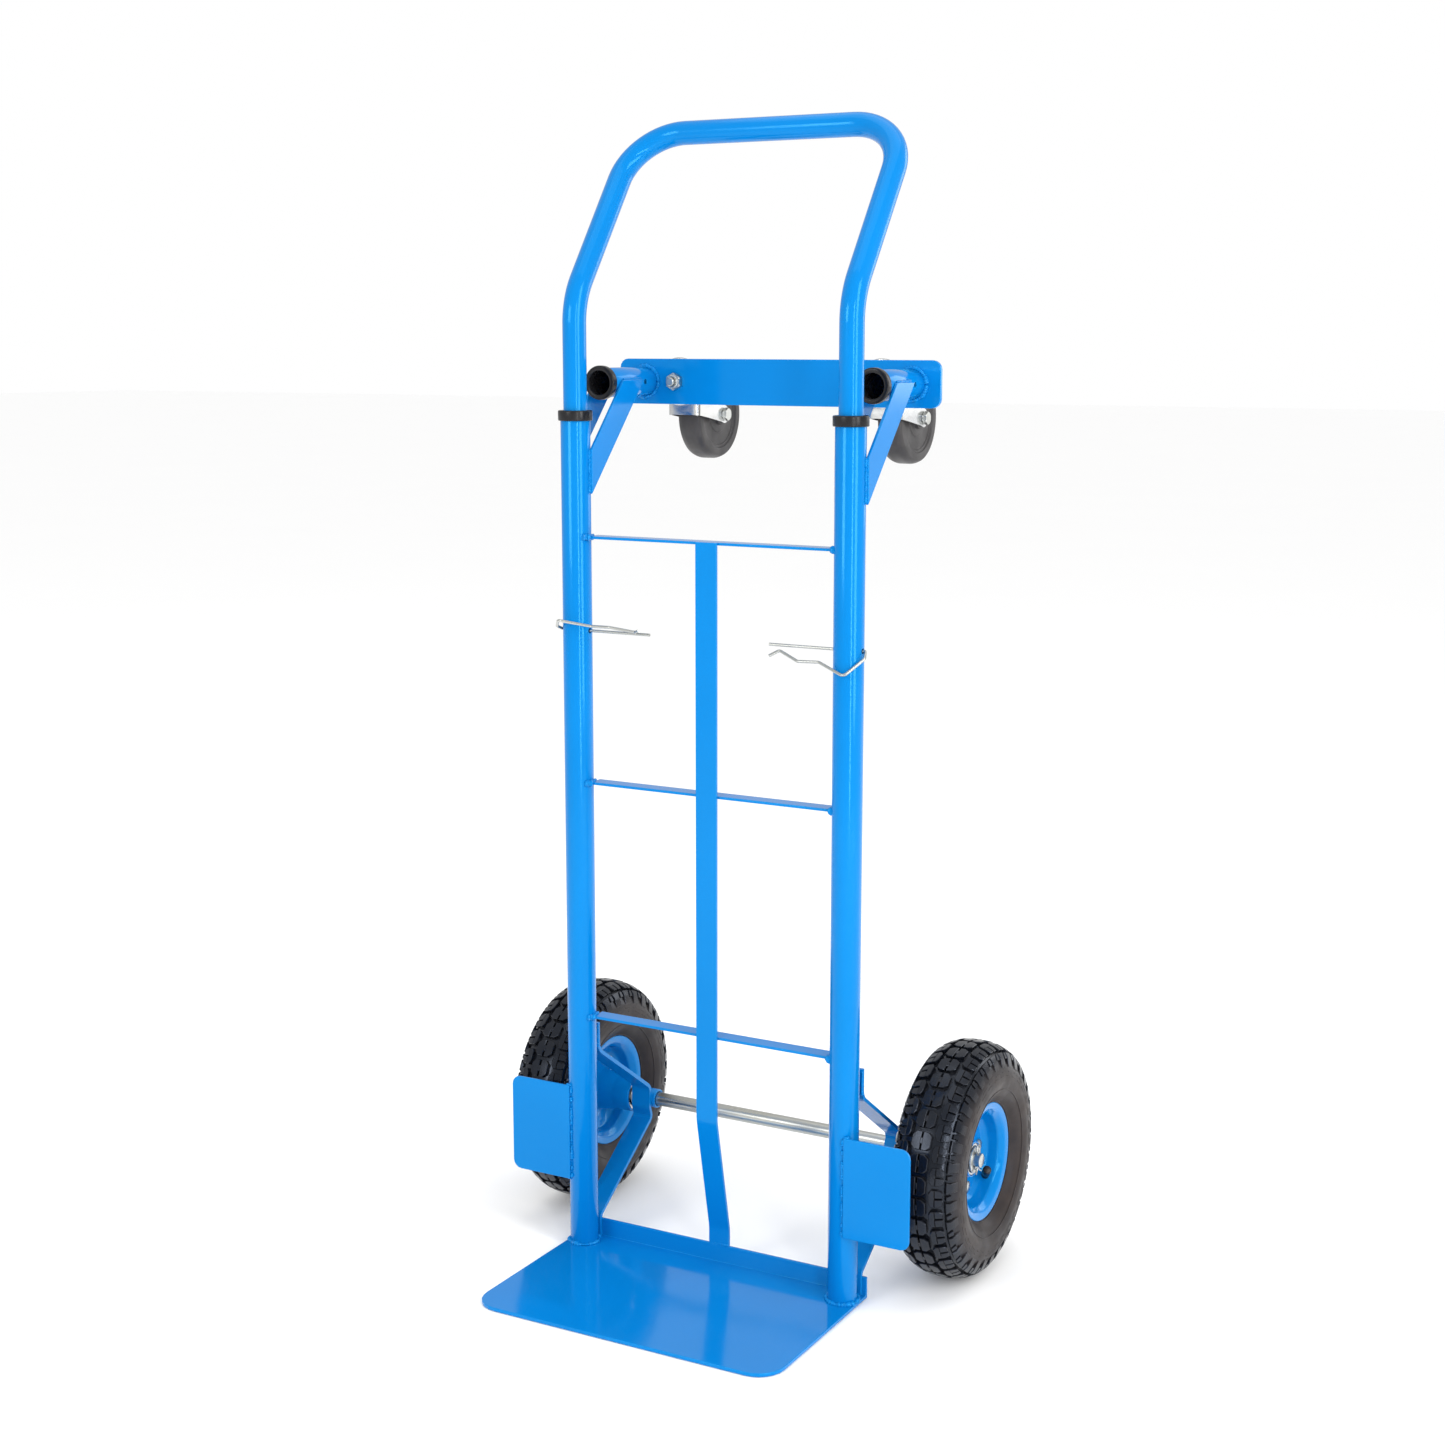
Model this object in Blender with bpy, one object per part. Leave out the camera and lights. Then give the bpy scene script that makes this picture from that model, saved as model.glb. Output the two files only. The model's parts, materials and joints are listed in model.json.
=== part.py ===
"""Convertible hand truck, standing upright on its toe plate and its two pneumatic wheels.

Frame: +X to the right, -Y the side that carries the load, +Z up. The origin is on the underside of
the toe plate, midway between the rails and level with their centres. Lengths are in millimetres here
and become metres where the objects are made.
"""

import math

import bmesh
import bpy
from mathutils import Vector

MM = 0.001
GAP = 0.3

# Frame
RAIL_X = 163.0
TUBE_R = 16.0
TUBE_BORE_R = 14.0
RAIL_TOP = 937.0
CROSSBAR_Z = (271.0, 537.0, 806.0)
CROSSBAR_NAMES = ("lower", "middle", "upper")
STRAP_T = 3.0
STRAP_W = 25.0
CROSSBAR_FRONT = -3.0
CROSSBAR_DEPTH = 20.0

# Toe plate
PLATE_T = 4.0
TOE_FRONT = -198.0
TOE_BACK = 25.0
TOE_HALF_W = 181.0
FLANGE_H = 24.0
FLANGE_T = 3.5
TOE_CORNER_R = 30.0

# Handle
HANDLE_R = 12.7
HANDLE_BORE_R = 11.0
HANDLE_BEND_Z = 1057.0
HANDLE_TOP_Z = 1235.0
HANDLE_TOP_Y = 130.0
HANDLE_LEG_BOTTOM = 470.0
HANDLE_LEAN_R = 80.0
HANDLE_CORNER_R = 62.0

# Pins
PIN_Z = 705.0
LOWER_HOLE_Z = 490.0
PIN_HOLE_R = 3.1
CLIP_WIRE_R = 1.6

# Sockets and caster plate
SOCKET_Z = 969.0
SOCKET_MOUTH = 52.0
SOCKET_PIN_Y = 120.0
CASTER_PLATE_Y = 146.0
CASTER_PLATE_T = 5.0
CASTER_PLATE_HALF_W = 196.0
CASTER_PLATE_HALF_H = 25.0
KINGPIN_X = 124.0

# Axle and wheels
WHEEL_R = 130.0
WHEEL_X = 240.0
TYRE_HALF_W = 39.6
TYRE_STEPS = 28
RIM_STEPS = 24
AXLE_Y = 143.0
AXLE_Z = WHEEL_R
AXLE_R = 8.0
AXLE_END = 262.0
SLEEVE_R = 11.0
SLEEVE_HALF_L = 14.0
HUB_OUTER = 12.5
HUB_INNER = -60.4
BEARING_R = 17.5
BEARING_W = 10.0
VALVE_TURN = {"left": 0.0, "right": math.radians(50)}

# Casters, measured from the back of the caster plate
FLOOR_Y = AXLE_Y + WHEEL_R
CASTER_R = 50.0
CASTER_TRAIL = 38.0
CASTER_DROP = FLOOR_Y - CASTER_PLATE_Y - CASTER_PLATE_T - CASTER_R
FORK_HALF_W = 20.0
FORK_T = 3.0

# Ways to turn a shape that is drawn along its own Z axis
QUARTER = math.pi / 2
ALONG_X = (0.0, QUARTER, 0.0)
ALONG_MINUS_X = (0.0, -QUARTER, 0.0)
ALONG_Y = (-QUARTER, 0.0, 0.0)
SIDE_PROFILE = (QUARTER, 0.0, QUARTER)
FRONT_PROFILE = (QUARTER, 0.0, 0.0)
SIDES = (("left", -1), ("right", 1))


def clear_scene():
    for obj in list(bpy.data.objects):
        bpy.data.objects.remove(obj, do_unlink=True)


def material(name, colour, roughness, metallic=0.0):
    look = bpy.data.materials.new(name)
    look.use_nodes = True
    shader = look.node_tree.nodes["Principled BSDF"]
    shader.inputs["Base Color"].default_value = (*colour, 1.0)
    shader.inputs["Roughness"].default_value = roughness
    shader.inputs["Metallic"].default_value = metallic
    return look


def add_object(name, bm, look, location=(0, 0, 0), rotation=(0, 0, 0), parent=None):
    """Turns a bmesh in millimetres into an object in metres."""
    bmesh.ops.scale(bm, vec=(MM, MM, MM), verts=bm.verts)
    bmesh.ops.recalc_face_normals(bm, faces=bm.faces)
    mesh = bpy.data.meshes.new(name)
    bm.to_mesh(mesh)
    bm.free()
    mesh.shade_smooth()
    mesh.set_sharp_from_angle(angle=math.radians(30))
    obj = bpy.data.objects.new(name, mesh)
    bpy.context.scene.collection.objects.link(obj)
    obj.location = Vector(location) * MM
    obj.rotation_euler = rotation
    obj.parent = parent
    if look:
        mesh.materials.append(look)
    return obj


def add_axis(name, location, rotation=(0, 0, 0)):
    """An empty on a joint's axis, which carries the pieces that move about it."""
    empty = bpy.data.objects.new(name, None)
    bpy.context.scene.collection.objects.link(empty)
    empty.location = Vector(location) * MM
    empty.rotation_euler = rotation
    return empty


def rounded(points, radii, steps=4):
    """Points in the plane or in space, with an arc of the given radius at each corner but the ends.

    A list with one radius for every point rounds a closed outline; the ends of an open path get 0.
    """
    points = [Vector((*p, 0.0)) if len(p) == 2 else Vector(p) for p in points]
    made = []
    for i, corner in enumerate(points):
        if not radii[i]:
            made.append(corner)
            continue
        to_last = (points[i - 1] - corner).normalized()
        to_next = (points[(i + 1) % len(points)] - corner).normalized()
        half = to_last.angle(to_next) / 2
        start = corner + to_last * radii[i] / math.tan(half)
        end = corner + to_next * radii[i] / math.tan(half)
        centre = corner + (to_last + to_next).normalized() * radii[i] / math.sin(half)
        sweep = math.pi - 2 * half
        for step in range(steps + 1):
            t = step / steps
            a = math.sin((1 - t) * sweep) / math.sin(sweep)
            b = math.sin(t * sweep) / math.sin(sweep)
            made.append(centre + (start - centre) * a + (end - centre) * b)
    return made


def prism(outline, depth):
    """An outline in the XY plane, extruded up Z."""
    bm = bmesh.new()
    face = bm.faces.new([bm.verts.new((p[0], p[1], 0.0)) for p in outline])
    made = bmesh.ops.extrude_face_region(bm, geom=[face])["geom"]
    top = [item for item in made if isinstance(item, bmesh.types.BMVert)]
    bmesh.ops.translate(bm, vec=(0, 0, depth), verts=top)
    return bm


def strip(path, thickness, width):
    """A flat strip: a path in the XY plane, given a thickness in it and a width up Z."""
    path = [Vector((p[0], p[1])) for p in path]
    left, right = [], []
    for i, point in enumerate(path):
        before = (point - path[i - 1]).normalized() if i else None
        after = (path[i + 1] - point).normalized() if i + 1 < len(path) else None
        along = ((before or after) + (after or before)).normalized()
        across = Vector((-along.y, along.x))
        reach = thickness / 2 / across.dot(Vector((-(after or before).y, (after or before).x)))
        left.append(point + across * reach)
        right.append(point - across * reach)
    return prism(left + right[::-1], width)


def turned(profile, steps, ring=True):
    """A profile of (radius, height) points turned about Z. A ring's profile is a closed outline clear
    of the axis, and any other profile starts and ends on the axis."""
    bm = bmesh.new()
    verts = [bm.verts.new((r, 0.0, z)) for r, z in profile]
    pairs = list(zip(verts, verts[1:] + verts[:1]))
    edges = [bm.edges.new(pair) for pair in (pairs if ring else pairs[:-1])]
    bmesh.ops.spin(bm, geom=verts + edges, cent=(0, 0, 0), axis=(0, 0, 1), angle=2 * math.pi,
                   steps=steps, use_merge=True)
    bmesh.ops.remove_doubles(bm, verts=bm.verts, dist=0.001)
    return bm


def tube(outer, bore, start, end, steps=20):
    return turned([(bore, start), (outer, start), (outer, end), (bore, end)], steps)


def nut(across_flats, bore, height):
    """A hexagon with a round bore, standing on Z = 0. The bore has a side for every 15 degrees."""
    bm = bmesh.new()
    count = 24
    rings = []
    for z in (0.0, height):
        for inner in (False, True):
            ring = []
            for i in range(count):
                angle = 2 * math.pi * i / count
                off_flat = (angle + math.pi / 6) % (math.pi / 3) - math.pi / 6
                radius = bore if inner else across_flats / 2 / math.cos(off_flat)
                ring.append(bm.verts.new((radius * math.cos(angle), radius * math.sin(angle), z)))
            rings.append(ring)
    outer_low, bore_low, outer_high, bore_high = rings
    for a, b in ((outer_low, outer_high), (bore_low, bore_high), (outer_low, bore_low),
                 (outer_high, bore_high)):
        for i in range(count):
            j = (i + 1) % count
            bm.faces.new((a[i], a[j], b[j], b[i]))
    return bm


def swept(path, radius, bore=0.0, sides=12):
    """A round bar, or a tube where there is a bore, along a path in space."""
    bm = bmesh.new()
    path = [Vector(p) for p in path]
    tangents = []
    for i in range(len(path)):
        tangents.append((path[min(i + 1, len(path) - 1)] - path[max(i - 1, 0)]).normalized())
    normal = tangents[0].orthogonal().normalized()
    walls = [[] for r in (radius, bore) if r]
    for i, point in enumerate(path):
        if i:
            normal = tangents[i - 1].rotation_difference(tangents[i]) @ normal
        other = tangents[i].cross(normal)
        for wall, r in zip(walls, (radius, bore)):
            ring = []
            for k in range(sides):
                angle = 2 * math.pi * k / sides
                offset = normal * math.cos(angle) + other * math.sin(angle)
                ring.append(bm.verts.new(point + offset * r))
            wall.append(ring)
    for wall in walls:
        for a, b in zip(wall, wall[1:]):
            for k in range(sides):
                bm.faces.new((a[k], a[k - 1], b[k - 1], b[k]))
    for end in (0, -1):
        if bore:
            for k in range(sides):
                outer, inner = walls[0][end], walls[1][end]
                bm.faces.new((outer[k], outer[k - 1], inner[k - 1], inner[k]))
        else:
            bm.faces.new(walls[0][end])
    return bm


def cut(target, cutter, operation="DIFFERENCE"):
    """A Boolean with a guide object, which is hidden from renders."""
    cutter.hide_render = True
    cutter.display_type = "WIRE"
    modifier = target.modifiers.new(cutter.name, "BOOLEAN")
    modifier.operation = operation
    modifier.object = cutter


def drill(target, name, radius, length, location, rotation, steps=16, parent=None):
    bit = turned([(0, -length / 2), (radius, -length / 2), (radius, length / 2), (0, length / 2)],
                 steps, ring=False)
    cut(target, add_object(name, bit, None, location, rotation, parent))


def add_toe_plate(paint):
    inside = TOE_BACK - FLANGE_T
    outline = [(TOE_FRONT, 0), (TOE_BACK, 0), (TOE_BACK, FLANGE_H), (inside, FLANGE_H),
               (inside, PLATE_T), (TOE_FRONT, PLATE_T)]
    bm = prism(outline, 2 * TOE_HALF_W)
    front = [e for e in bm.edges if all(v.co.x == TOE_FRONT for v in e.verts)]
    corners = [e for e in front if e.verts[0].co.z == e.verts[1].co.z]
    bmesh.ops.bevel(bm, geom=corners, offset=TOE_CORNER_R, segments=6, profile=0.5, affect="EDGES")
    add_object("toe_plate", bm, paint, (-TOE_HALF_W, 0, 0), SIDE_PROFILE)


def add_rails(paint, plastic):
    collar = [(TUBE_R + 0.5, RAIL_TOP - 7), (TUBE_R + 2.5, RAIL_TOP - 7), (TUBE_R + 2.5, RAIL_TOP + 4),
              (HANDLE_R + 0.7, RAIL_TOP + 4), (HANDLE_R + 0.7, RAIL_TOP + GAP),
              (TUBE_R + 0.5, RAIL_TOP + GAP)]
    for side, sign in SIDES:
        place = (sign * RAIL_X, 0, 0)
        bm = tube(TUBE_R, TUBE_BORE_R, PLATE_T + GAP, RAIL_TOP)
        rail = add_object(f"rail_{side}", bm, paint, place)
        drill(rail, f"rail_pin_hole_{side}", PIN_HOLE_R, 40, (sign * RAIL_X, 0, PIN_Z), ALONG_X)
        add_object(f"rail_collar_{side}", turned(collar, 20), plastic, place)


def add_crossbars(paint):
    reach = RAIL_X - TUBE_R - GAP
    back = CROSSBAR_FRONT + CROSSBAR_DEPTH
    outline = [(-reach, CROSSBAR_FRONT), (reach, CROSSBAR_FRONT), (reach, back), (-reach, back)]
    for name, z in zip(CROSSBAR_NAMES, CROSSBAR_Z):
        add_object(f"crossbar_{name}", prism(outline, STRAP_T), paint, (0, 0, z - STRAP_T / 2))


def add_center_strap(paint):
    """The flat strap in front of the crossbars, which bends back to the top of the plate's flange."""
    front = CROSSBAR_FRONT - GAP - STRAP_T / 2
    foot = TOE_BACK - FLANGE_T / 2
    path = [(front, CROSSBAR_Z[2] + STRAP_T / 2), (front, 177), (foot, 44), (foot, FLANGE_H + GAP)]
    bm = strip(rounded(path, (0, 40, 40, 0), 3), STRAP_T, STRAP_W)
    add_object("center_strap", bm, paint, (-STRAP_W / 2, 0, 0), SIDE_PROFILE)


def add_wheel_guards(paint):
    """Flat plates on the fronts of the rails that keep the load off the tyres."""
    inner, outer, low, high = 170.5, 247.0, 81.5, 191.5
    for side, sign in SIDES:
        corners = [(sign * inner, low), (sign * outer, low), (sign * outer, high), (sign * inner, high)]
        bm = prism(rounded(corners, (0, 10, 10, 0)), STRAP_T)
        add_object(f"wheel_guard_{side}", bm, paint, (0, -14.5, 0), FRONT_PROFILE)


def add_axle_brackets(paint):
    """Bent straps from the backs of the rails down to the toe plate, with a seat for the axle's sleeve."""
    thickness, width, middle = 4.0, 24.0, RAIL_X + 1.5
    back = TUBE_R + GAP + thickness / 2
    tab = TOE_BACK - FLANGE_T - GAP - thickness / 2 - 0.3
    seat = AXLE_Y - SLEEVE_R - GAP - thickness / 2
    path = [(back, 258), (back, 226.2), (seat + 0.8, 148), (seat - 0.4, 122), (seat + 4.3, 110),
            (tab, 28.5), (tab, PLATE_T + GAP)]
    outline_path = rounded(path, (0, 14, 11, 10, 7, 9, 0), 3)
    sleeve = [(AXLE_R + 0.6, -SLEEVE_HALF_L), (SLEEVE_R, -SLEEVE_HALF_L), (SLEEVE_R, SLEEVE_HALF_L),
              (AXLE_R + 0.6, SLEEVE_HALF_L)]
    for side, sign in SIDES:
        bm = strip(outline_path, thickness, width)
        start = (sign * middle - width / 2, 0, 0)
        add_object(f"axle_bracket_{side}", bm, paint, start, SIDE_PROFILE)
        place = (sign * RAIL_X, AXLE_Y, AXLE_Z)
        add_object(f"axle_sleeve_{side}", turned(sleeve, 20), paint, place, ALONG_X)


def add_axle(zinc):
    profile = [(0, -AXLE_END), (AXLE_R - 1, -AXLE_END), (AXLE_R, -AXLE_END + 1), (AXLE_R, AXLE_END - 1),
               (AXLE_R - 1, AXLE_END), (0, AXLE_END)]
    axle = add_object("axle", turned(profile, 20, ring=False), zinc, (0, AXLE_Y, AXLE_Z), ALONG_X)
    inner_face = RAIL_X + SLEEVE_HALF_L + GAP
    outer_face = WHEEL_X + HUB_OUTER + GAP
    cotter_x = outer_face + 2.0 + 2.6
    for side, sign in SIDES:
        drill(axle, f"cotter_hole_{side}", 1.9, 20, (sign * cotter_x, AXLE_Y, AXLE_Z), (0, 0, 0), 12)
        outward = ALONG_X if sign > 0 else ALONG_MINUS_X
        for name, x, radius in (("inner", inner_face, 14.0), ("outer", outer_face, 15.0)):
            bm = tube(radius, AXLE_R + 0.5, 0, 2.0)
            add_object(f"axle_washer_{name}_{side}", bm, zinc, (sign * x, AXLE_Y, AXLE_Z), outward)
        add_cotter_pin(side, sign * cotter_x, zinc)


def add_cotter_pin(side, x, zinc):
    """A split pin seen as one bar: an eye above the axle and a tail bent round below it."""
    eye = 4.0
    path = [(0, 2 * eye + 9, 0.5)]
    for step in range(1, 9):
        angle = math.pi * (0.5 - 0.22 * step)
        path.append((0, eye + 9.5 + eye * math.sin(angle), eye * math.cos(angle)))
    path += [(0, 8.8, 0), (0, -13, 0), (0, -17, 5)]
    path = [(0, z, y) for z, y in [(p[2], p[1]) for p in path]]
    add_object(f"cotter_pin_{side}", swept(path, 1.4, sides=6), zinc, (x, AXLE_Y, AXLE_Z))


def rim_profiles():
    """The outer and inner stamped rim halves as (radius, offset) outlines, outward positive."""
    bowl = [(64.5, 28.2), (57.0, 25.6), (51.0, 20.0), (49.5, 8.0), (43.5, 2.15)]
    seat = [(45.0, 0.15), (52.0, 7.4), (53.2, 18.6), (58.0, 23.6), (65.0, 26.2)]
    boss = [(BEARING_R + 2.5, 2.15), (BEARING_R + 2.5, HUB_OUTER), (BEARING_R + 0.4, HUB_OUTER),
            (BEARING_R + 0.4, 2.15), (13.0, 2.15), (13.0, 0.15)]
    cone = [(28.0, 2.15), (20.5, 45.0), (20.5, -HUB_INNER), (BEARING_R + 0.4, -HUB_INNER),
            (BEARING_R + 0.4, 49.0), (13.5, 49.0), (13.5, 47.0), (17.5, 47.0), (24.5, 0.15)]
    outer = bowl + boss + seat
    inner = [(r, -x) for r, x in bowl + cone + seat]
    return outer, inner


def tyre_profile():
    """The casing, open on the side that faces the rim. Its flats lie on the wheel's radius."""
    outside = [(54.8, 14.0), (54.8, 17.5), (60.5, 22.8), (67.0, 27.6), (76.0, 35.0),
               (91.0, TYRE_HALF_W), (108.0, 37.2), (121.0, 31.0), (128.5, 16.0)]
    inside = [(123.0, 13.0), (112.0, 28.0), (92.0, 33.6), (61.0, 14.0)]
    loop = outside + [(WHEEL_R, 0.0)] + [(r, -x) for r, x in outside[::-1]]
    loop += [(r, -x) for r, x in inside[::-1]] + inside
    flat = math.cos(math.pi / TYRE_STEPS)
    return [(r / flat, x) for r, x in loop]


def ellipse_ring(centre, half_height, half_width, count=8):
    points = []
    for i in range(count):
        angle = 2 * math.pi * i / count
        points.append((centre + half_height * math.cos(angle), half_width * math.sin(angle)))
    return points


def add_inner_tube(side, rubber, rim, parent):
    """The air tube with its valve stem. The stem's bore leads into the hollow."""
    body = add_object(f"inner_tube_{side}", turned(ellipse_ring(92, 26, 27), 24), rubber,
                      parent=parent)
    root, tip = Vector((72.0, 0.0, 2.0)), Vector((27.0, 0.0, 20.0))
    tilt = Vector((0, 0, 1)).rotation_difference(tip - root).to_euler()
    length = (tip - root).length
    stem = turned([(0, 0), (4.0, 0), (4.0, length), (0, length)], 12, ring=False)
    stem = add_object(f"valve_stem_{side}", stem, None, root, tilt, parent)
    cut(body, stem, "UNION")
    hollow = turned(ellipse_ring(92, 24, 25), 24)
    cut(body, add_object(f"air_{side}", hollow, None, parent=parent))
    drill(body, f"valve_bore_{side}", 1.6, length + 12, (root + tip) / 2, tilt, 8, parent)
    drill(rim, f"valve_hole_{side}", 5.2, 30, root + (tip - root) * 0.4, tilt, 16, parent)


def add_wheels(paint, rubber, tube_rubber, steel):
    outer_rim, inner_rim = rim_profiles()
    bearings = (("outer", HUB_OUTER - BEARING_W - 0.05), ("inner", HUB_INNER + 0.4))
    for side, sign in SIDES:
        outward = ALONG_X if sign > 0 else ALONG_MINUS_X
        place = (sign * WHEEL_X, AXLE_Y, AXLE_Z)
        hub = add_axis(f"wheel_{side}_axis", place, outward)
        flat_down = (0, 0, math.pi / TYRE_STEPS)
        tyre = turned(tyre_profile(), TYRE_STEPS)
        add_object(f"tyre_{side}", tyre, rubber, rotation=flat_down, parent=hub)
        rim = add_object(f"rim_outer_{side}", turned(outer_rim, RIM_STEPS), paint, parent=hub)
        add_object(f"rim_inner_{side}", turned(inner_rim, RIM_STEPS), paint, parent=hub)
        spoke = add_axis(f"valve_{side}_axis", (0, 0, 0), (0, 0, VALVE_TURN[side]))
        spoke.parent = hub
        add_inner_tube(side, tube_rubber, rim, spoke)
        for name, offset in bearings:
            bm = tube(BEARING_R, AXLE_R + 0.5, 0, BEARING_W)
            add_object(f"wheel_bearing_{name}_{side}", bm, steel, (0, 0, offset), parent=hub)


def add_sockets(paint, plastic):
    """Short tubes on the caster plate, which take the handle's legs when the truck is a cart."""
    length = CASTER_PLATE_Y - GAP - SOCKET_MOUTH
    collar = [(TUBE_R + 0.5, 4.5), (TUBE_R + 0.5, -GAP), (HANDLE_R + 0.9, -GAP), (HANDLE_R + 0.9, -4),
              (TUBE_R + 2.5, -4), (TUBE_R + 2.5, 4.5)]
    for side, sign in SIDES:
        place = (sign * RAIL_X, SOCKET_MOUTH, SOCKET_Z)
        bm = tube(TUBE_R, TUBE_BORE_R, 0, length)
        socket = add_object(f"socket_tube_{side}", bm, paint, place, ALONG_Y)
        hole = (sign * RAIL_X, SOCKET_PIN_Y, SOCKET_Z)
        drill(socket, f"socket_pin_hole_{side}", PIN_HOLE_R, 40, hole, ALONG_X)
        add_object(f"socket_collar_{side}", turned(collar, 20), plastic, place, ALONG_Y)


def add_gussets(paint):
    """Flat struts on both sides of each rail, up to the socket tube behind it."""
    outline = [(2, 852), (112, 972), (68.5, 972), (2, 899.4)]
    for side, sign in SIDES:
        for name, way in (("outer", sign), ("inner", -sign)):
            near = sign * RAIL_X + way * (TUBE_R + GAP)
            start = min(near, near + way * STRAP_T)
            bm = prism(outline, STRAP_T)
            add_object(f"gusset_{name}_{side}", bm, paint, (start, 0, 0), SIDE_PROFILE)


def add_caster_plate(paint):
    w, h = CASTER_PLATE_HALF_W, CASTER_PLATE_HALF_H
    bm = prism(rounded([(-w, -h), (w, -h), (w, h), (-w, h)], (10, 10, 10, 10)), CASTER_PLATE_T)
    back = CASTER_PLATE_Y + CASTER_PLATE_T
    plate = add_object("caster_plate", bm, paint, (0, back, SOCKET_Z), FRONT_PROFILE)
    for side, sign in SIDES:
        hole = (sign * KINGPIN_X, CASTER_PLATE_Y, SOCKET_Z)
        drill(plate, f"kingpin_hole_{side}", 5.4, 20, hole, ALONG_Y)


def fork_blank():
    """The fork's side view, in its own frame: Y is the trail and Z leads away from the plate."""
    boss = 10.0
    axle = Vector((CASTER_TRAIL, CASTER_DROP))
    nose = [(axle.x + boss * math.cos(a), axle.y + boss * math.sin(a))
            for a in (-0.6, 0.1, 0.8, 1.5, 2.2, 2.9)]
    return [(-24, 10), (37, 10), (40, 30)] + nose + [(-20, 22)]


def add_caster(side, sign, steel, rubber, race_steel):
    """A swivel caster on a kingpin. Its frame's Z leads away from the plate and its Y trails."""
    back = CASTER_PLATE_Y + CASTER_PLATE_T
    kingpin = (sign * KINGPIN_X, back, SOCKET_Z)
    race = [(6.0, GAP), (25.5, GAP), (26.5, 2.5), (26.5, 7.0), (24.5, 7.0), (24.5, 9.2), (6.0, 9.2)]
    add_object(f"caster_race_{side}", turned(race, 20), race_steel, kingpin, ALONG_Y)
    pin = [(0, -19), (4.6, -19), (4.8, -18), (4.8, 13.6), (8.5, 13.6), (8.5, 18), (6.5, 20), (0, 20)]
    add_object(f"kingpin_{side}", turned(pin, 16, ring=False), steel, kingpin, ALONG_Y)
    nut_face = (sign * KINGPIN_X, CASTER_PLATE_Y - GAP - 9.0, SOCKET_Z)
    add_object(f"kingpin_nut_{side}", nut(17.0, 5.1, 9.0), steel, nut_face, ALONG_Y)

    swivel = add_axis(f"caster_{side}_swivel_axis", kingpin, ALONG_Y)
    fork = add_object(f"caster_fork_{side}", prism(fork_blank(), 2 * FORK_HALF_W), steel,
                      (-FORK_HALF_W, 0, 0), SIDE_PROFILE, swivel)
    room = FORK_HALF_W - FORK_T
    corners = [(-room, -40), (room, -40), (room, 60), (-room, 60)]
    slot = prism(corners, 90)
    cut(fork, add_object(f"fork_slot_{side}", slot, None, (0, 0, 13), parent=swivel))
    drill(fork, f"fork_kingpin_hole_{side}", 5.4, 20, (0, 0, 10), (0, 0, 0), parent=swivel)
    centre = (0, CASTER_TRAIL, CASTER_DROP)
    drill(fork, f"fork_bolt_hole_{side}", 4.5, 60, centre, ALONG_X, parent=swivel)

    axis = add_axis(f"caster_wheel_{side}_axis", centre, ALONG_X)
    axis.parent = swivel
    half = [(CASTER_R, 9.0), (47, 14), (38, 14), (34, 11), (12, 12), (12, 16.5), (4.6, 16.5)]
    wheel = [(r, -x) for r, x in half[::-1]] + half
    add_object(f"caster_wheel_{side}", turned(wheel, 20), rubber, parent=axis)
    bolt = [(0, -27), (3.9, -27), (3.9, FORK_HALF_W + GAP), (7, FORK_HALF_W + GAP),
            (7, FORK_HALF_W + 5), (0, FORK_HALF_W + 5)]
    add_object(f"caster_bolt_{side}", turned(bolt, 12, ring=False), steel, centre, ALONG_X, swivel)


def add_handle(paint):
    """One bent tube: two legs inside the rails, leaning back to the grip bar."""
    x, top = RAIL_X, (HANDLE_TOP_Y, HANDLE_TOP_Z)
    path = [(-x, 0, HANDLE_LEG_BOTTOM), (-x, 0, HANDLE_BEND_Z), (-x, *top), (x, *top),
            (x, 0, HANDLE_BEND_Z), (x, 0, HANDLE_LEG_BOTTOM)]
    lean, corner = HANDLE_LEAN_R, HANDLE_CORNER_R
    bm = swept(rounded(path, (0, lean, corner, corner, lean, 0), 4), HANDLE_R, HANDLE_BORE_R, 14)
    handle = add_object("handle", bm, paint)
    for side, sign in SIDES:
        for level, z in (("upper", PIN_Z), ("lower", LOWER_HOLE_Z)):
            hole = (sign * RAIL_X, 0, z)
            drill(handle, f"handle_hole_{level}_{side}", PIN_HOLE_R, 40, hole, ALONG_X)


def add_hitch_clips(zinc):
    """Hairpin clips: a straight leg through rail and handle, and a wavy leg across the rail's front.

    Drawn with +X outward and the wavy leg above the straight one, then swung about the straight leg.
    """
    wavy = [(-91, 0), (19, 0), (21, 9.5), (5.5, 33), (-27.5, 18), (-51.5, 19), (-76.5, 7), (-86, 15)]
    radii = (0, 2.5, 5, 5, 6, 6, 4, 0)
    for side, sign, swing in (("left", -1, 66.0), ("right", 1, 135.0)):
        path = [(sign * p.x, 0, p.y) for p in rounded(wavy, radii, 3)]
        turn = (math.radians(swing), 0, 0)
        place = (sign * RAIL_X, 0, PIN_Z)
        add_object(f"hitch_clip_{side}", swept(path, CLIP_WIRE_R, sides=6), zinc, place, turn)


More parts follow.
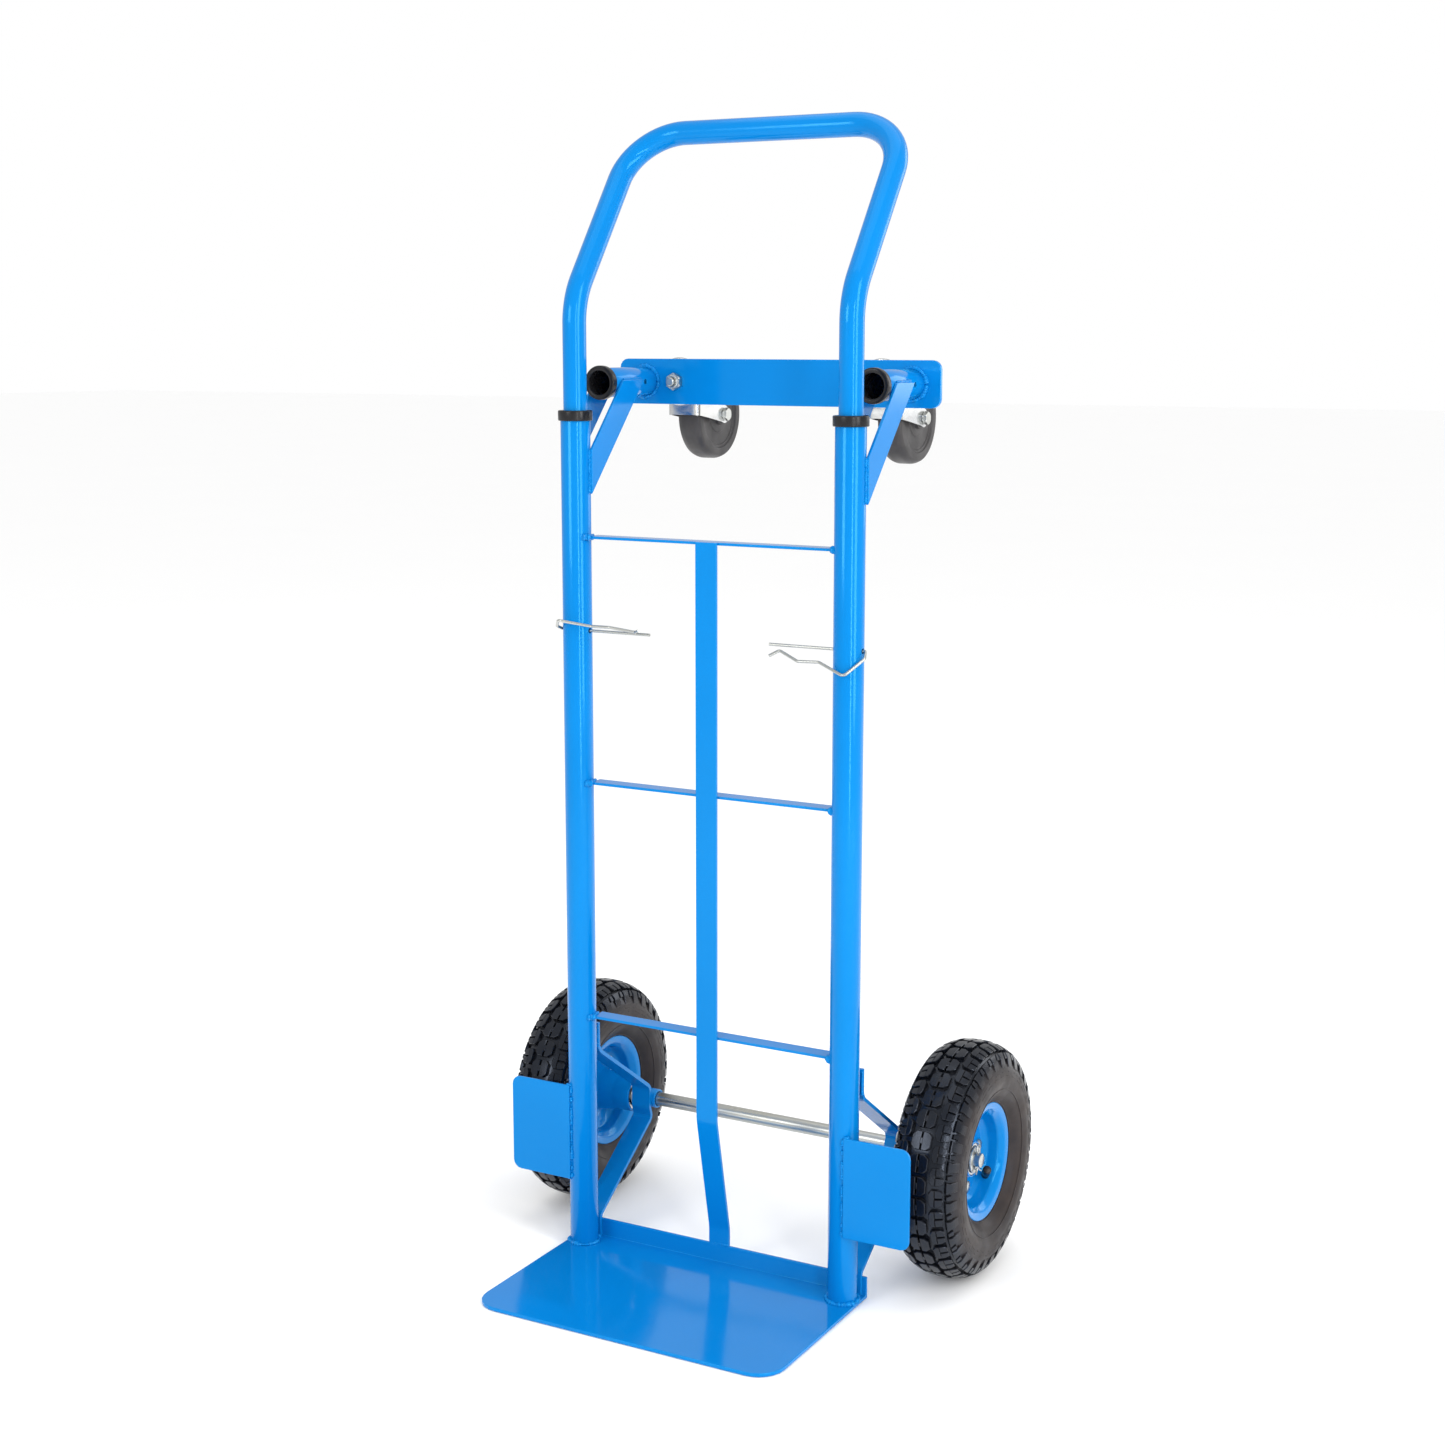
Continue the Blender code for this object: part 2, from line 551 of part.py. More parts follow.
def build():
    clear_scene()
    paint = material("blue_powder_coat", (0.010, 0.270, 0.860), 0.32)
    rubber = material("black_rubber", (0.018, 0.017, 0.016), 0.62)
    tube_rubber = material("butyl_rubber", (0.012, 0.012, 0.013), 0.5)
    caster_rubber = material("grey_black_rubber", (0.045, 0.043, 0.042), 0.6)
    plastic = material("black_plastic", (0.02, 0.02, 0.021), 0.4)
    zinc = material("zinc_plate", (0.60, 0.60, 0.58), 0.28, 1.0)
    steel = material("bright_steel", (0.66, 0.67, 0.66), 0.22, 1.0)
    add_toe_plate(paint)
    add_rails(paint, plastic)
    add_crossbars(paint)
    add_center_strap(paint)
    add_wheel_guards(paint)
    add_axle_brackets(paint)
    add_axle(zinc)
    add_wheels(paint, rubber, tube_rubber, steel)
    add_sockets(paint, plastic)
    add_gussets(paint)
    add_caster_plate(paint)
    for side, sign in SIDES:
        add_caster(side, sign, zinc, caster_rubber, steel)
    add_handle(paint)
    add_hitch_clips(zinc)


build()
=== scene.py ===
"""Looks for the convertible hand truck: detailed pieces, procedural finishes, light and camera.

Lengths are in millimetres and become metres where the pieces are made. Positions repeat the CAD
model's: rails at x = +-163, axle at y = 143 and z = 130, sockets at z = 969.
"""

import json
import math
import random

import bmesh
import bpy
from mathutils import Matrix, Vector


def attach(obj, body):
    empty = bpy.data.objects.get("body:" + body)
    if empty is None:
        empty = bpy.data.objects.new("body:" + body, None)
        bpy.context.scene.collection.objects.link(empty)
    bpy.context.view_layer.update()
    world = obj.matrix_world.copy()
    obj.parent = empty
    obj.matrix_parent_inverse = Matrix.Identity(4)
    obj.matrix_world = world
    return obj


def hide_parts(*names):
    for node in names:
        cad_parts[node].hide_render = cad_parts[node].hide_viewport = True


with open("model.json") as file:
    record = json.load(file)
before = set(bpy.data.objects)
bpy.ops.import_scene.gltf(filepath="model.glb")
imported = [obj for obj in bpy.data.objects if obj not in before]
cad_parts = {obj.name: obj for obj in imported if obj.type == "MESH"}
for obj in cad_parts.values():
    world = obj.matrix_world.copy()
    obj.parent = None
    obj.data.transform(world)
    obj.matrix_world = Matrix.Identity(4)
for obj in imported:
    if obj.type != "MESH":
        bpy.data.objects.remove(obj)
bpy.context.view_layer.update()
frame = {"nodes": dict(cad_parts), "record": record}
random.seed(7)

MM = 0.001
SIDES = (("left", -1), ("right", 1))

RAIL_X = 163.0
TUBE_R = 16.0
TUBE_BORE_R = 14.0
PLATE_T = 4.0
RAIL_TOP = 937.0
CROSSBAR_Z = (271.0, 537.0, 806.0)
PIN_Z = 705.0
LOWER_HOLE_Z = 490.0
PIN_HOLE_R = 3.1
PIN_CUT = 44.0
HANDLE_R = 12.7
HANDLE_BORE_R = 11.0
LEG_END_Z = 470.0
LEG_BEND_Z = 1057.0
GRIP_Y = 130.0
GRIP_Z = 1235.0
SOCKET_Z = 969.0
SOCKET_MOUTH = 52.0
SOCKET_PIN_Y = 120.0
# Depth of the collar's black lining in the socket bore. The lining is partly plastic and partly
# painted shade that darkens the bore.
SOCKET_SHADE_LINER = 58.0
CASTER_PLATE_Y = 146.0
CASTER_PLATE_T = 5.0
KINGPIN_X = 124.0
CASTER_TRAIL = 38.0
CASTER_DROP = 72.0
FORK_HALF_W = 20.0
WHEEL_X = 240.0
WHEEL_R = 130.0
AXLE_Y = 143.0
AXLE_Z = 130.0
AXLE_R = 8.0
AXLE_END = 262.0
SLEEVE_R = 11.0
SLEEVE_HALF_L = 14.0
INNER_WASHER_X = 177.3
OUTER_WASHER_X = 252.8
SPLIT_PIN_X = 257.4
WASHER_T = 2.0
BEARING_R = 17.5
BEARING_W = 10.0
BEARING_STARTS = (("outer", 2.45), ("inner", -60.0))
BOLT_CIRCLE_R = 35.0
VALVE_TURN = {"left": 0.0, "right": math.radians(50)}

PAINT = "blue_powder_coat"
RUBBER = "black_rubber"
TUBE_RUBBER = "butyl_rubber"
CASTER_RUBBER = "grey_black_rubber"
PLASTIC = "black_plastic"
ZINC = "zinc_plate"
STEEL = "bright_steel"


# ---------------------------------------------------------------- finishes


class Look:
    """A material in the making: a Principled shader and the texture nodes that drive it."""

    def __init__(self, name, **sockets):
        self.material = bpy.data.materials.new(name)
        self.material.use_nodes = True
        self.tree = self.material.node_tree
        self.shader = self.tree.nodes["Principled BSDF"]
        self.coords = self.tree.nodes.new("ShaderNodeTexCoord").outputs["Object"]
        for socket, value in sockets.items():
            self.shader.inputs[socket.replace("_", " ")].default_value = value

    def noise(self, scale, detail=3.0, roughness=0.5, stretch=(1, 1, 1)):
        texture = self.tree.nodes.new("ShaderNodeTexNoise")
        texture.inputs["Scale"].default_value = scale
        texture.inputs["Detail"].default_value = detail
        texture.inputs["Roughness"].default_value = roughness
        mapping = self.tree.nodes.new("ShaderNodeMapping")
        mapping.inputs["Scale"].default_value = stretch
        self.tree.links.new(self.coords, mapping.inputs["Vector"])
        self.tree.links.new(mapping.outputs["Vector"], texture.inputs["Vector"])
        return texture.outputs["Fac"]

    def ramp(self, source, low, high, start=0.0, end=1.0):
        node = self.tree.nodes.new("ShaderNodeMapRange")
        node.interpolation_type = "SMOOTHSTEP"
        node.inputs["From Min"].default_value = low
        node.inputs["From Max"].default_value = high
        node.inputs["To Min"].default_value = start
        node.inputs["To Max"].default_value = end
        self.tree.links.new(source, node.inputs["Value"])
        return node.outputs["Result"]

    def combined(self, operation, a, b):
        node = self.tree.nodes.new("ShaderNodeMath")
        node.operation = operation
        self.tree.links.new(a, node.inputs[0])
        self.tree.links.new(b, node.inputs[1])
        return node.outputs["Value"]

    def product(self, a, b):
        return self.combined("MULTIPLY", a, b)

    def total(self, a, b):
        return self.combined("ADD", a, b)

    def from_axle(self):
        """The distance from the truck's axle, in metres."""
        flat = self.tree.nodes.new("ShaderNodeMapping")
        flat.inputs["Scale"].default_value = (0, 1, 1)
        flat.inputs["Location"].default_value = (0, -AXLE_Y * MM, -AXLE_Z * MM)
        self.tree.links.new(self.coords, flat.inputs["Vector"])
        length = self.tree.nodes.new("ShaderNodeVectorMath")
        length.operation = "LENGTH"
        self.tree.links.new(flat.outputs["Vector"], length.inputs[0])
        return length.outputs["Value"]

    def edges(self, radius):
        """Near 1 along sharp outer and inner edges and 0 on open faces."""
        bevel = self.tree.nodes.new("ShaderNodeBevel")
        bevel.samples = 4
        bevel.inputs["Radius"].default_value = radius
        normal = self.tree.nodes.new("ShaderNodeNewGeometry").outputs["Normal"]
        dot = self.tree.nodes.new("ShaderNodeVectorMath")
        dot.operation = "DOT_PRODUCT"
        self.tree.links.new(bevel.outputs["Normal"], dot.inputs[0])
        self.tree.links.new(normal, dot.inputs[1])
        return self.ramp(dot.outputs["Value"], 0.985, 0.86)

    def mix(self, factor, first, second):
        """A colour that goes from the first to the second, either of which may be a socket."""
        node = self.tree.nodes.new("ShaderNodeMix")
        node.data_type = "RGBA"
        self.tree.links.new(factor, node.inputs["Factor"])
        for index, value in ((6, first), (7, second)):
            if isinstance(value, tuple):
                node.inputs[index].default_value = (*value, 1.0)
            else:
                self.tree.links.new(value, node.inputs[index])
        return node.outputs[2]

    def drive(self, socket, source):
        self.tree.links.new(source, self.shader.inputs[socket])

    def bump(self, height, distance, strength=1.0):
        """Adds a relief. A second call lays its relief on top of the first one's."""
        node = self.tree.nodes.new("ShaderNodeBump")
        node.inputs["Distance"].default_value = distance
        node.inputs["Strength"].default_value = strength
        self.tree.links.new(height, node.inputs["Height"])
        under = self.shader.inputs["Normal"].links
        if under:
            self.tree.links.new(under[0].from_socket, node.inputs["Normal"])
        self.drive("Normal", node.outputs["Normal"])


def powder_coat():
    look = Look(PAINT, Specular_IOR_Level=0.5, Specular_Tint=(0.20, 0.80, 1.0, 1.0))
    cloud = look.ramp(look.noise(5.0, 2.0), 0.35, 0.65)
    base = look.mix(cloud, (0.0008, 0.176, 0.520), (0.0012, 0.189, 0.552))
    fleck = look.ramp(look.noise(900.0, 2.0), 0.45, 0.7)
    share = look.product(fleck, look.ramp(cloud, 0, 1, 0.1, 0.3))
    base = look.mix(share, base, (0.0016, 0.162, 0.488))
    # Lighter paint along the edges in patches: partly edge wear, partly a painted highlight that
    # stands in for the shine on rounded edges.
    edge = look.edges(0.0012)
    edge_wear_and_highlight = look.product(edge, look.ramp(look.noise(60.0, 4.0), 0.4, 0.62, 0.15, 0.7))
    look.drive("Base Color", look.mix(edge_wear_and_highlight, base, (0.022, 0.295, 0.690)))
    look.drive("Roughness", look.ramp(look.noise(18.0, 3.0, 0.6), 0.3, 0.75, 0.09, 0.15))
    look.bump(look.noise(420.0, 2.0), 0.00012, 0.06)
    look.bump(look.noise(26.0, 2.0), 0.0008, 0.008)
    return look.material


def rubber(name, dark, warm, roughness, grain=620.0):
    look = Look(name, Specular_IOR_Level=0.42)
    dust = look.ramp(look.noise(24.0, 5.0, 0.65), 0.4, 0.72)
    base = look.mix(dust, dark, warm)
    edge = look.product(look.edges(0.0009), look.ramp(look.noise(90.0), 0.3, 0.7, 0.2, 0.8))
    look.drive("Base Color", look.mix(edge, base, tuple(2.2 * c for c in warm)))
    spots = look.ramp(look.noise(45.0, 4.0), 0.3, 0.7, roughness - 0.09, roughness + 0.1)
    look.drive("Roughness", spots)
    look.bump(look.noise(grain, 3.0), 0.0004, 0.3)
    return look.material


def tyre_rubber():
    """Glossy blue-black tread and dusty brown sidewalls, told apart by how far the axle is."""
    look = Look(RUBBER, Specular_IOR_Level=0.40, Specular_Tint=(0.70, 0.80, 1.0, 1.0))
    wall = look.ramp(look.from_axle(), 0.1180, 0.0960)
    dust = look.ramp(look.noise(24.0, 5.0, 0.65), 0.38, 0.72)
    tread = look.mix(dust, (0.0036, 0.0044, 0.0070), (0.0100, 0.0104, 0.0120))
    side = look.mix(dust, (0.0150, 0.0090, 0.0056), (0.0300, 0.0190, 0.0120))
    base = look.mix(wall, tread, side)
    edge = look.product(look.edges(0.0009), look.ramp(look.noise(90.0), 0.3, 0.7, 0.1, 0.6))
    look.drive("Base Color", look.mix(edge, base, (0.045, 0.040, 0.036)))
    gloss = look.ramp(look.noise(45.0, 4.0), 0.3, 0.7, -0.06, 0.08)
    look.drive("Roughness", look.total(look.ramp(wall, 0, 1, 0.19, 0.46), gloss))
    look.bump(look.noise(620.0, 3.0), 0.0003, 0.25)
    return look.material


def plastic():
    look = Look(PLASTIC, Specular_IOR_Level=0.28)
    base = look.mix(look.noise(40.0), (0.0065, 0.0065, 0.0075), (0.0120, 0.0120, 0.0135))
    look.drive("Base Color", base)
    look.drive("Roughness", look.ramp(look.noise(60.0, 4.0), 0.3, 0.7, 0.20, 0.34))
    look.bump(look.noise(1100.0, 2.0), 0.0002, 0.15)
    return look.material


def plated(name, bright, dull, low, high, scratch):
    look = Look(name, Metallic=1.0)
    patch = look.ramp(look.noise(26.0, 3.0, 0.5, scratch), 0.38, 0.70)
    tint = look.mix(look.ramp(look.noise(11.0), 0.4, 0.62), bright, tuple(c * k for c, k in zip(
        bright, (1.0, 0.985, 0.93))))
    look.drive("Base Color", look.mix(patch, tint, dull))
    look.drive("Roughness", look.ramp(look.noise(48.0, 4.0, 0.6, scratch), 0.3, 0.72, low, high))
    look.bump(look.noise(120.0, 3.0, 0.6, scratch), 0.0002, 0.05)
    return look.material


LOOKS = {
    PAINT: powder_coat(),
    RUBBER: tyre_rubber(),
    TUBE_RUBBER: rubber(TUBE_RUBBER, (0.003, 0.003, 0.005), (0.006, 0.006, 0.009), 0.30),
    CASTER_RUBBER: rubber(CASTER_RUBBER, (0.030, 0.028, 0.029), (0.046, 0.042, 0.042), 0.46),
    PLASTIC: plastic(),
    ZINC: plated(ZINC, (0.54, 0.55, 0.53), (0.43, 0.44, 0.42), 0.25, 0.36, (0.2, 1, 1)),
    STEEL: plated(STEEL, (0.66, 0.67, 0.67), (0.55, 0.56, 0.57), 0.14, 0.26, (1, 1, 3)),
}


# ---------------------------------------------------------------- mesh helpers


def piece(name, bm, slot, body, replaces=(), matrix=None, sharp=38.0, bevel=0.0, look=None):
    """Turns a bmesh in millimetres into a piece in metres that rides on a body."""
    if matrix:
        bmesh.ops.transform(bm, matrix=matrix, verts=bm.verts)
    bmesh.ops.scale(bm, vec=(MM, MM, MM), verts=bm.verts)
    bmesh.ops.recalc_face_normals(bm, faces=bm.faces)
    mesh = bpy.data.meshes.new(name)
    bm.to_mesh(mesh)
    bm.free()
    mesh.shade_smooth()
    mesh.set_sharp_from_angle(angle=math.radians(sharp))
    mesh.materials.append(LOOKS[look or slot])
    obj = bpy.data.objects.new(name, mesh)
    bpy.context.scene.collection.objects.link(obj)
    if bevel:
        round_edges(obj, bevel)
    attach(obj, body)
    if replaces:
        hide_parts(*replaces)
    return obj


def round_edges(obj, width, segments=2):
    rounding = obj.modifiers.new("rounding", "BEVEL")
    rounding.width = width * MM
    rounding.segments = segments
    rounding.limit_method = "ANGLE"
    rounding.angle_limit = math.radians(34)
    rounding.harden_normals = True
    rounding.use_clamp_overlap = True


def rounded(points, radii, steps=6):
    """Points in the plane or in space, with an arc of the given radius at each corner."""
    points = [Vector((*p, 0.0)) if len(p) == 2 else Vector(p) for p in points]
    made = []
    for i, corner in enumerate(points):
        if not radii[i]:
            made.append(corner)
            continue
        to_last = (points[i - 1] - corner).normalized()
        to_next = (points[(i + 1) % len(points)] - corner).normalized()
        half = to_last.angle(to_next) / 2
        start = corner + to_last * radii[i] / math.tan(half)
        end = corner + to_next * radii[i] / math.tan(half)
        centre = corner + (to_last + to_next).normalized() * radii[i] / math.sin(half)
        sweep = math.pi - 2 * half
        for step in range(steps + 1):
            t = step / steps
            a = math.sin((1 - t) * sweep) / math.sin(sweep)
            b = math.sin(t * sweep) / math.sin(sweep)
            made.append(centre + (start - centre) * a + (end - centre) * b)
    return made


def outline(corners, steps=4):
    """Rounds (radius, height, rounding) corners and gives plain pairs."""
    points = rounded([c[:2] for c in corners], [c[2] for c in corners], steps)
    return [(p.x, p.y) for p in points]


def turned(bm, profile, steps, ring=True, shape=None):
    """Turns (radius, height) points about Z. A ring's profile is closed; another one ends on the
    axis. The shape function may move each point, given its radius, height and angle."""
    rows = []
    for r, z in profile:
        if r < 1e-6 and not ring:
            rows.append([bm.verts.new((0, 0, z))] * steps)
            continue
        row = []
        for i in range(steps):
            angle = 2 * math.pi * i / steps
            radius, height = shape(r, z, angle) if shape else (r, z)
            row.append(bm.verts.new((radius * math.cos(angle), radius * math.sin(angle), height)))
        rows.append(row)
    for a, b in zip(rows, rows[1:] + rows[:1] if ring else rows[1:]):
        for i in range(steps):
            loop = []
            for vert in (a[i - 1], a[i], b[i], b[i - 1]):
                if vert not in loop:
                    loop.append(vert)
            bm.faces.new(loop)
    return bm


def swept(bm, path, radius, bore=0.0, sides=16):
    """A round bar, or a tube where there is a bore, along a path in space."""
    path = [Vector(p) for p in path]
    tangents = []
    for i in range(len(path)):
        tangents.append((path[min(i + 1, len(path) - 1)] - path[max(i - 1, 0)]).normalized())
    normal = tangents[0].orthogonal().normalized()
    sizes = [radius, bore] if bore else [radius]
    walls = [[] for size in sizes]
    for i, point in enumerate(path):
        if i:
            normal = tangents[i - 1].rotation_difference(tangents[i]) @ normal
        other = tangents[i].cross(normal)
        for wall, size in zip(walls, sizes):
            here = size(i) if callable(size) else size
            ring = []
            for k in range(sides):
                angle = 2 * math.pi * k / sides
                spoke = normal * math.cos(angle) + other * math.sin(angle)
                ring.append(bm.verts.new(point + spoke * here))
            wall.append(ring)
    for wall in walls:
        for a, b in zip(wall, wall[1:]):
            for k in range(sides):
                bm.faces.new((a[k], a[k - 1], b[k - 1], b[k]))
    for end in (0, -1):
        if not bore:
            bm.faces.new(walls[0][end])
            continue
        for k in range(sides):
            outer, inner = walls[0][end], walls[1][end]
            bm.faces.new((outer[k], outer[k - 1], inner[k - 1], inner[k]))
    return bm


def evenly(path, step):
    """The same path with a point about every step."""
    path = [Vector(p) for p in path]
    made = [path[0]]
    for a, b in zip(path, path[1:]):
        count = max(1, round((b - a).length / step))
        made += [a.lerp(b, k / count) for k in range(1, count + 1)]
    return made


def hexagon(bm, flats, height, base=0.0, bore=0.0, chamfer=0.9):
    """A nut or bolt head with chamfered corners, standing on Z = base."""
    steps = 72
    corner = flats / 2 / math.cos(math.pi / 6)

    def six(r, z, angle):
        if r < flats / 2 - 0.01:
            return r, z
        off_flat = (angle + math.pi / 6) % (math.pi / 3) - math.pi / 6
        return min(flats / 2 / math.cos(off_flat), r), z

    top = base + height
    low_ring = flats / 2 + 0.15
    profile = [(low_ring, base), (corner, base + chamfer * 0.6), (corner, top - chamfer * 0.6),
               (low_ring, top)]
    if bore:
        profile += [(bore, top), (bore, base)]
        return turned(bm, profile, steps, True, six)
    return turned(bm, [(0, base)] + profile + [(0, top)], steps, False, six)


def cut_holes(obj, places):
    """Cuts pin holes along X through a piece."""
    cutters = []
    for place in places:
        bm = bmesh.new()
        turned(bm, [(0, -PIN_CUT / 2), (PIN_HOLE_R, -PIN_CUT / 2), (PIN_HOLE_R, PIN_CUT / 2),
                    (0, PIN_CUT / 2)], 28, ring=False)
        turn = Matrix.Translation(Vector(place) * MM) @ Matrix.Rotation(math.pi / 2, 4, "Y")
        bmesh.ops.scale(bm, vec=(MM, MM, MM), verts=bm.verts)
        bmesh.ops.transform(bm, matrix=turn, verts=bm.verts)
        bmesh.ops.recalc_face_normals(bm, faces=bm.faces)
        mesh = bpy.data.meshes.new("cutter")
        bm.to_mesh(mesh)
        bm.free()
        cutter = bpy.data.objects.new("cutter", mesh)
        bpy.context.scene.collection.objects.link(cutter)
        modifier = obj.modifiers.new("hole", "BOOLEAN")
        modifier.object = cutter
        cutters.append(cutter)
    graph = bpy.context.evaluated_depsgraph_get()
    made = bpy.data.meshes.new_from_object(obj.evaluated_get(graph))
    obj.modifiers.clear()
    obj.data = made
    made.set_sharp_from_angle(angle=math.radians(38))
    for cutter in cutters:
        bpy.data.objects.remove(cutter, do_unlink=True)


def merge(source, target):
    """Adds one bmesh to another and frees it."""
    mesh = bpy.data.meshes.new("part")
    source.to_mesh(mesh)
    source.free()
    target.from_mesh(mesh)
    bpy.data.meshes.remove(mesh)


def wheel_place(sign, turn=0.0):
    """The wheel's own frame: Z points outward and Y to the back of the truck."""
    basis = Matrix(((0, 0, sign), (0, 1, 0), (-sign, 0, 0))).to_4x4()
    spin = Matrix.Rotation(turn, 4, "Z")
    return Matrix.Translation((sign * WHEEL_X, AXLE_Y, AXLE_Z)) @ basis @ spin


# ---------------------------------------------------------------- tubes, handle and collars


def tube_profile(outer, bore, start, end):
    corners = [(bore, start, 0.3), (outer, start, 0.6), (outer, end, 0.6), (bore, end, 0.3)]
    return outline(corners, 2)


def add_rails():
    for side, sign in SIDES:
        bm = turned(bmesh.new(), tube_profile(TUBE_R, TUBE_BORE_R, PLATE_T + 0.3, RAIL_TOP), 72)
        rail = piece(f"rail_tube_{side}", bm, PAINT, "frame", [f"rail_{side}"],
                     Matrix.Translation((sign * RAIL_X, 0, 0)))
        cut_holes(rail, [(sign * RAIL_X, 0, PIN_Z)])
        collar = outline([
            (TUBE_R + 0.2, RAIL_TOP - 7, 0.3), (TUBE_R + 2.4, RAIL_TOP - 7, 0.9),
            (TUBE_R + 2.5, RAIL_TOP + 4, 1.4), (HANDLE_R + 0.5, RAIL_TOP + 4, 0.5),
            (HANDLE_R + 0.6, RAIL_TOP + 0.3, 0.1), (TUBE_R + 0.2, RAIL_TOP + 0.3, 0.1)])
        piece(f"collar_{side}", turned(bmesh.new(), collar, 72), PLASTIC, "frame",
              [f"rail_collar_{side}"], Matrix.Translation((sign * RAIL_X, 0, 0)))


def add_handle():
    x = RAIL_X
    leg = [(-x, 0, LEG_END_Z), (-x, 0, LEG_BEND_Z), (-x, GRIP_Y, GRIP_Z)]
    path = rounded(leg + [(-px, py, pz) for px, py, pz in leg[::-1]], (0, 80, 62, 62, 80, 0), 16)
    handle = piece("handle_tube", swept(bmesh.new(), path, HANDLE_R, HANDLE_BORE_R, 48), PAINT,
                   "handle", ["handle"])
    holes = []
    for side, sign in SIDES:
        for z in (PIN_Z, LOWER_HOLE_Z):
            holes.append((sign * RAIL_X, 0, z))
    cut_holes(handle, holes)


def add_sockets():
    length = CASTER_PLATE_Y - 0.3 - SOCKET_MOUTH
    along_y = Matrix.Rotation(-math.pi / 2, 4, "X")
    for side, sign in SIDES:
        place = Matrix.Translation((sign * RAIL_X, SOCKET_MOUTH, SOCKET_Z)) @ along_y
        bm = turned(bmesh.new(), tube_profile(TUBE_R, TUBE_BORE_R, 0, length), 72)
        socket = piece(f"socket_{side}", bm, PAINT, "frame", [f"socket_tube_{side}"], place)
        cut_holes(socket, [(sign * RAIL_X, SOCKET_PIN_Y, SOCKET_Z)])
        # The collar's black lining reaches into the bore: partly a plastic liner, partly painted
        # shade inside the bore.
        collar = outline([
            (TUBE_R + 0.2, 4.5, 0.3), (TUBE_R + 0.2, -0.3, 0.1), (TUBE_BORE_R - 0.2, -0.3, 0.1),
            (TUBE_BORE_R - 0.2, SOCKET_SHADE_LINER, 0.1), (HANDLE_R + 0.5, SOCKET_SHADE_LINER, 0.1),
            (HANDLE_R + 0.5, -3.4, 0.6),
            (TUBE_R - 1.0, -4, 0.8), (TUBE_R + 2.5, -4, 1.4), (TUBE_R + 2.4, 4.5, 0.9)])
        piece(f"socket_ring_{side}", turned(bmesh.new(), collar, 72), PLASTIC, "frame",
              [f"socket_collar_{side}"], place)


# ---------------------------------------------------------------- pneumatic wheels

TYRE_SECTION = ((54.8, 17.5), (60.5, 22.8), (67.0, 27.6), (76.0, 35.0), (91.0, 39.6), (108.0, 37.2),
                (121.0, 31.0), (128.5, 16.0), (130.0, 0.0))
PITCHES = 34
PITCH = 2 * math.pi * WHEEL_R / PITCHES


def curve_through(points, per_span=14):
    """A smooth curve through the points, by Catmull-Rom spans."""
    made = []
    for i in range(1, len(points) - 2):
        a, b, c, d = points[i - 1:i + 3]
        for step in range(per_span):
            t = step / per_span
            made.append(0.5 * (2 * b + (c - a) * t + (2 * a - 5 * b + 4 * c - d) * t**2
                               + (3 * b - a - 3 * c + d) * t**3))
    made.append(points[-2])
    return made


def tyre_skin():
    """Samples from the crown to the bead: (distance from the crown, radius, offset, normal)."""
    half = [Vector(p) for p in TYRE_SECTION[::-1]]
    mirrored = Vector((half[1].x, -half[1].y))
    points = curve_through([mirrored] + half + [half[-1] * 2 - half[-2]])
    samples = []
    distance = 0.0
    for i, point in enumerate(points):
        if i:
            distance += (point - points[i - 1]).length
        along = (points[min(i + 1, len(points) - 1)] - points[max(i - 1, 0)]).normalized()
        normal = Vector((along.y, -along.x))
        if i == 0:
            normal = Vector((1.0, 0.0))
        samples.append((distance, point, normal))
    return samples


SKIN = tyre_skin()


def on_skin(w, depth=0.0):
    """The radius and offset of the point that lies w along the section from the crown, under it."""
    reach = abs(w)
    for (d0, p0, n0), (d1, p1, n1) in zip(SKIN, SKIN[1:]):
        if d1 >= reach:
            t = (reach - d0) / (d1 - d0)
            point = p0.lerp(p1, t) - n0.lerp(n1, t) * depth
            return point.x, math.copysign(point.y, w if w else 1.0)
    point = SKIN[-1][1]
    return point.x, math.copysign(point.y, w)


def tread_block(bm, rows, angle, depth, columns=3, edge=0.55):
    """A raised block with sloping sides, a small rounding and a top that follows the tyre.

    Each row is (distance from the crown, start, end), the last two measured round the tread.
    """
    levels = []
    for sink, grow in ((depth, 0.35), (edge, 0.0), (0.0, -edge)):
        grid = []
        for j, (w, start, end) in enumerate(rows):
            way = (j == len(rows) - 1) - (j == 0)
            radius, offset = on_skin(w + way * grow, sink)
            row = []
            for k in range(columns + 1):
                s = (start - grow) + (end - start + 2 * grow) * k / columns
                a = angle + s / WHEEL_R
                row.append(bm.verts.new((radius * math.cos(a), radius * math.sin(a), offset)))
            grid.append(row)
        levels.append(grid)

    def rim_of(grid):
        loop = list(grid[0])
        loop += [row[-1] for row in grid[1:]]
        loop += grid[-1][-2::-1]
        loop += [row[0] for row in grid[-2:0:-1]]
        return loop

    for lower, upper in zip(levels, levels[1:]):
        a, b = rim_of(lower), rim_of(upper)
        for i in range(len(a)):
            bm.faces.new((a[i - 1], a[i], b[i], b[i - 1]))
    top = levels[-1]
    for r0, r1 in zip(top, top[1:]):
        for k in range(columns):
            bm.faces.new((r0[k], r0[k + 1], r1[k + 1], r1[k]))


def mirror_rows(rows, sign):
    return [(sign * w, start, end) for w, start, end in rows][::sign]


def groove_depth(w):
    reach = abs(w)
    if reach < 34:
        return 4.5
    if reach < 52:
        return 4.5 - 4.2 * (reach - 34) / 18
    return 0.3 if reach < 66 else 0.0


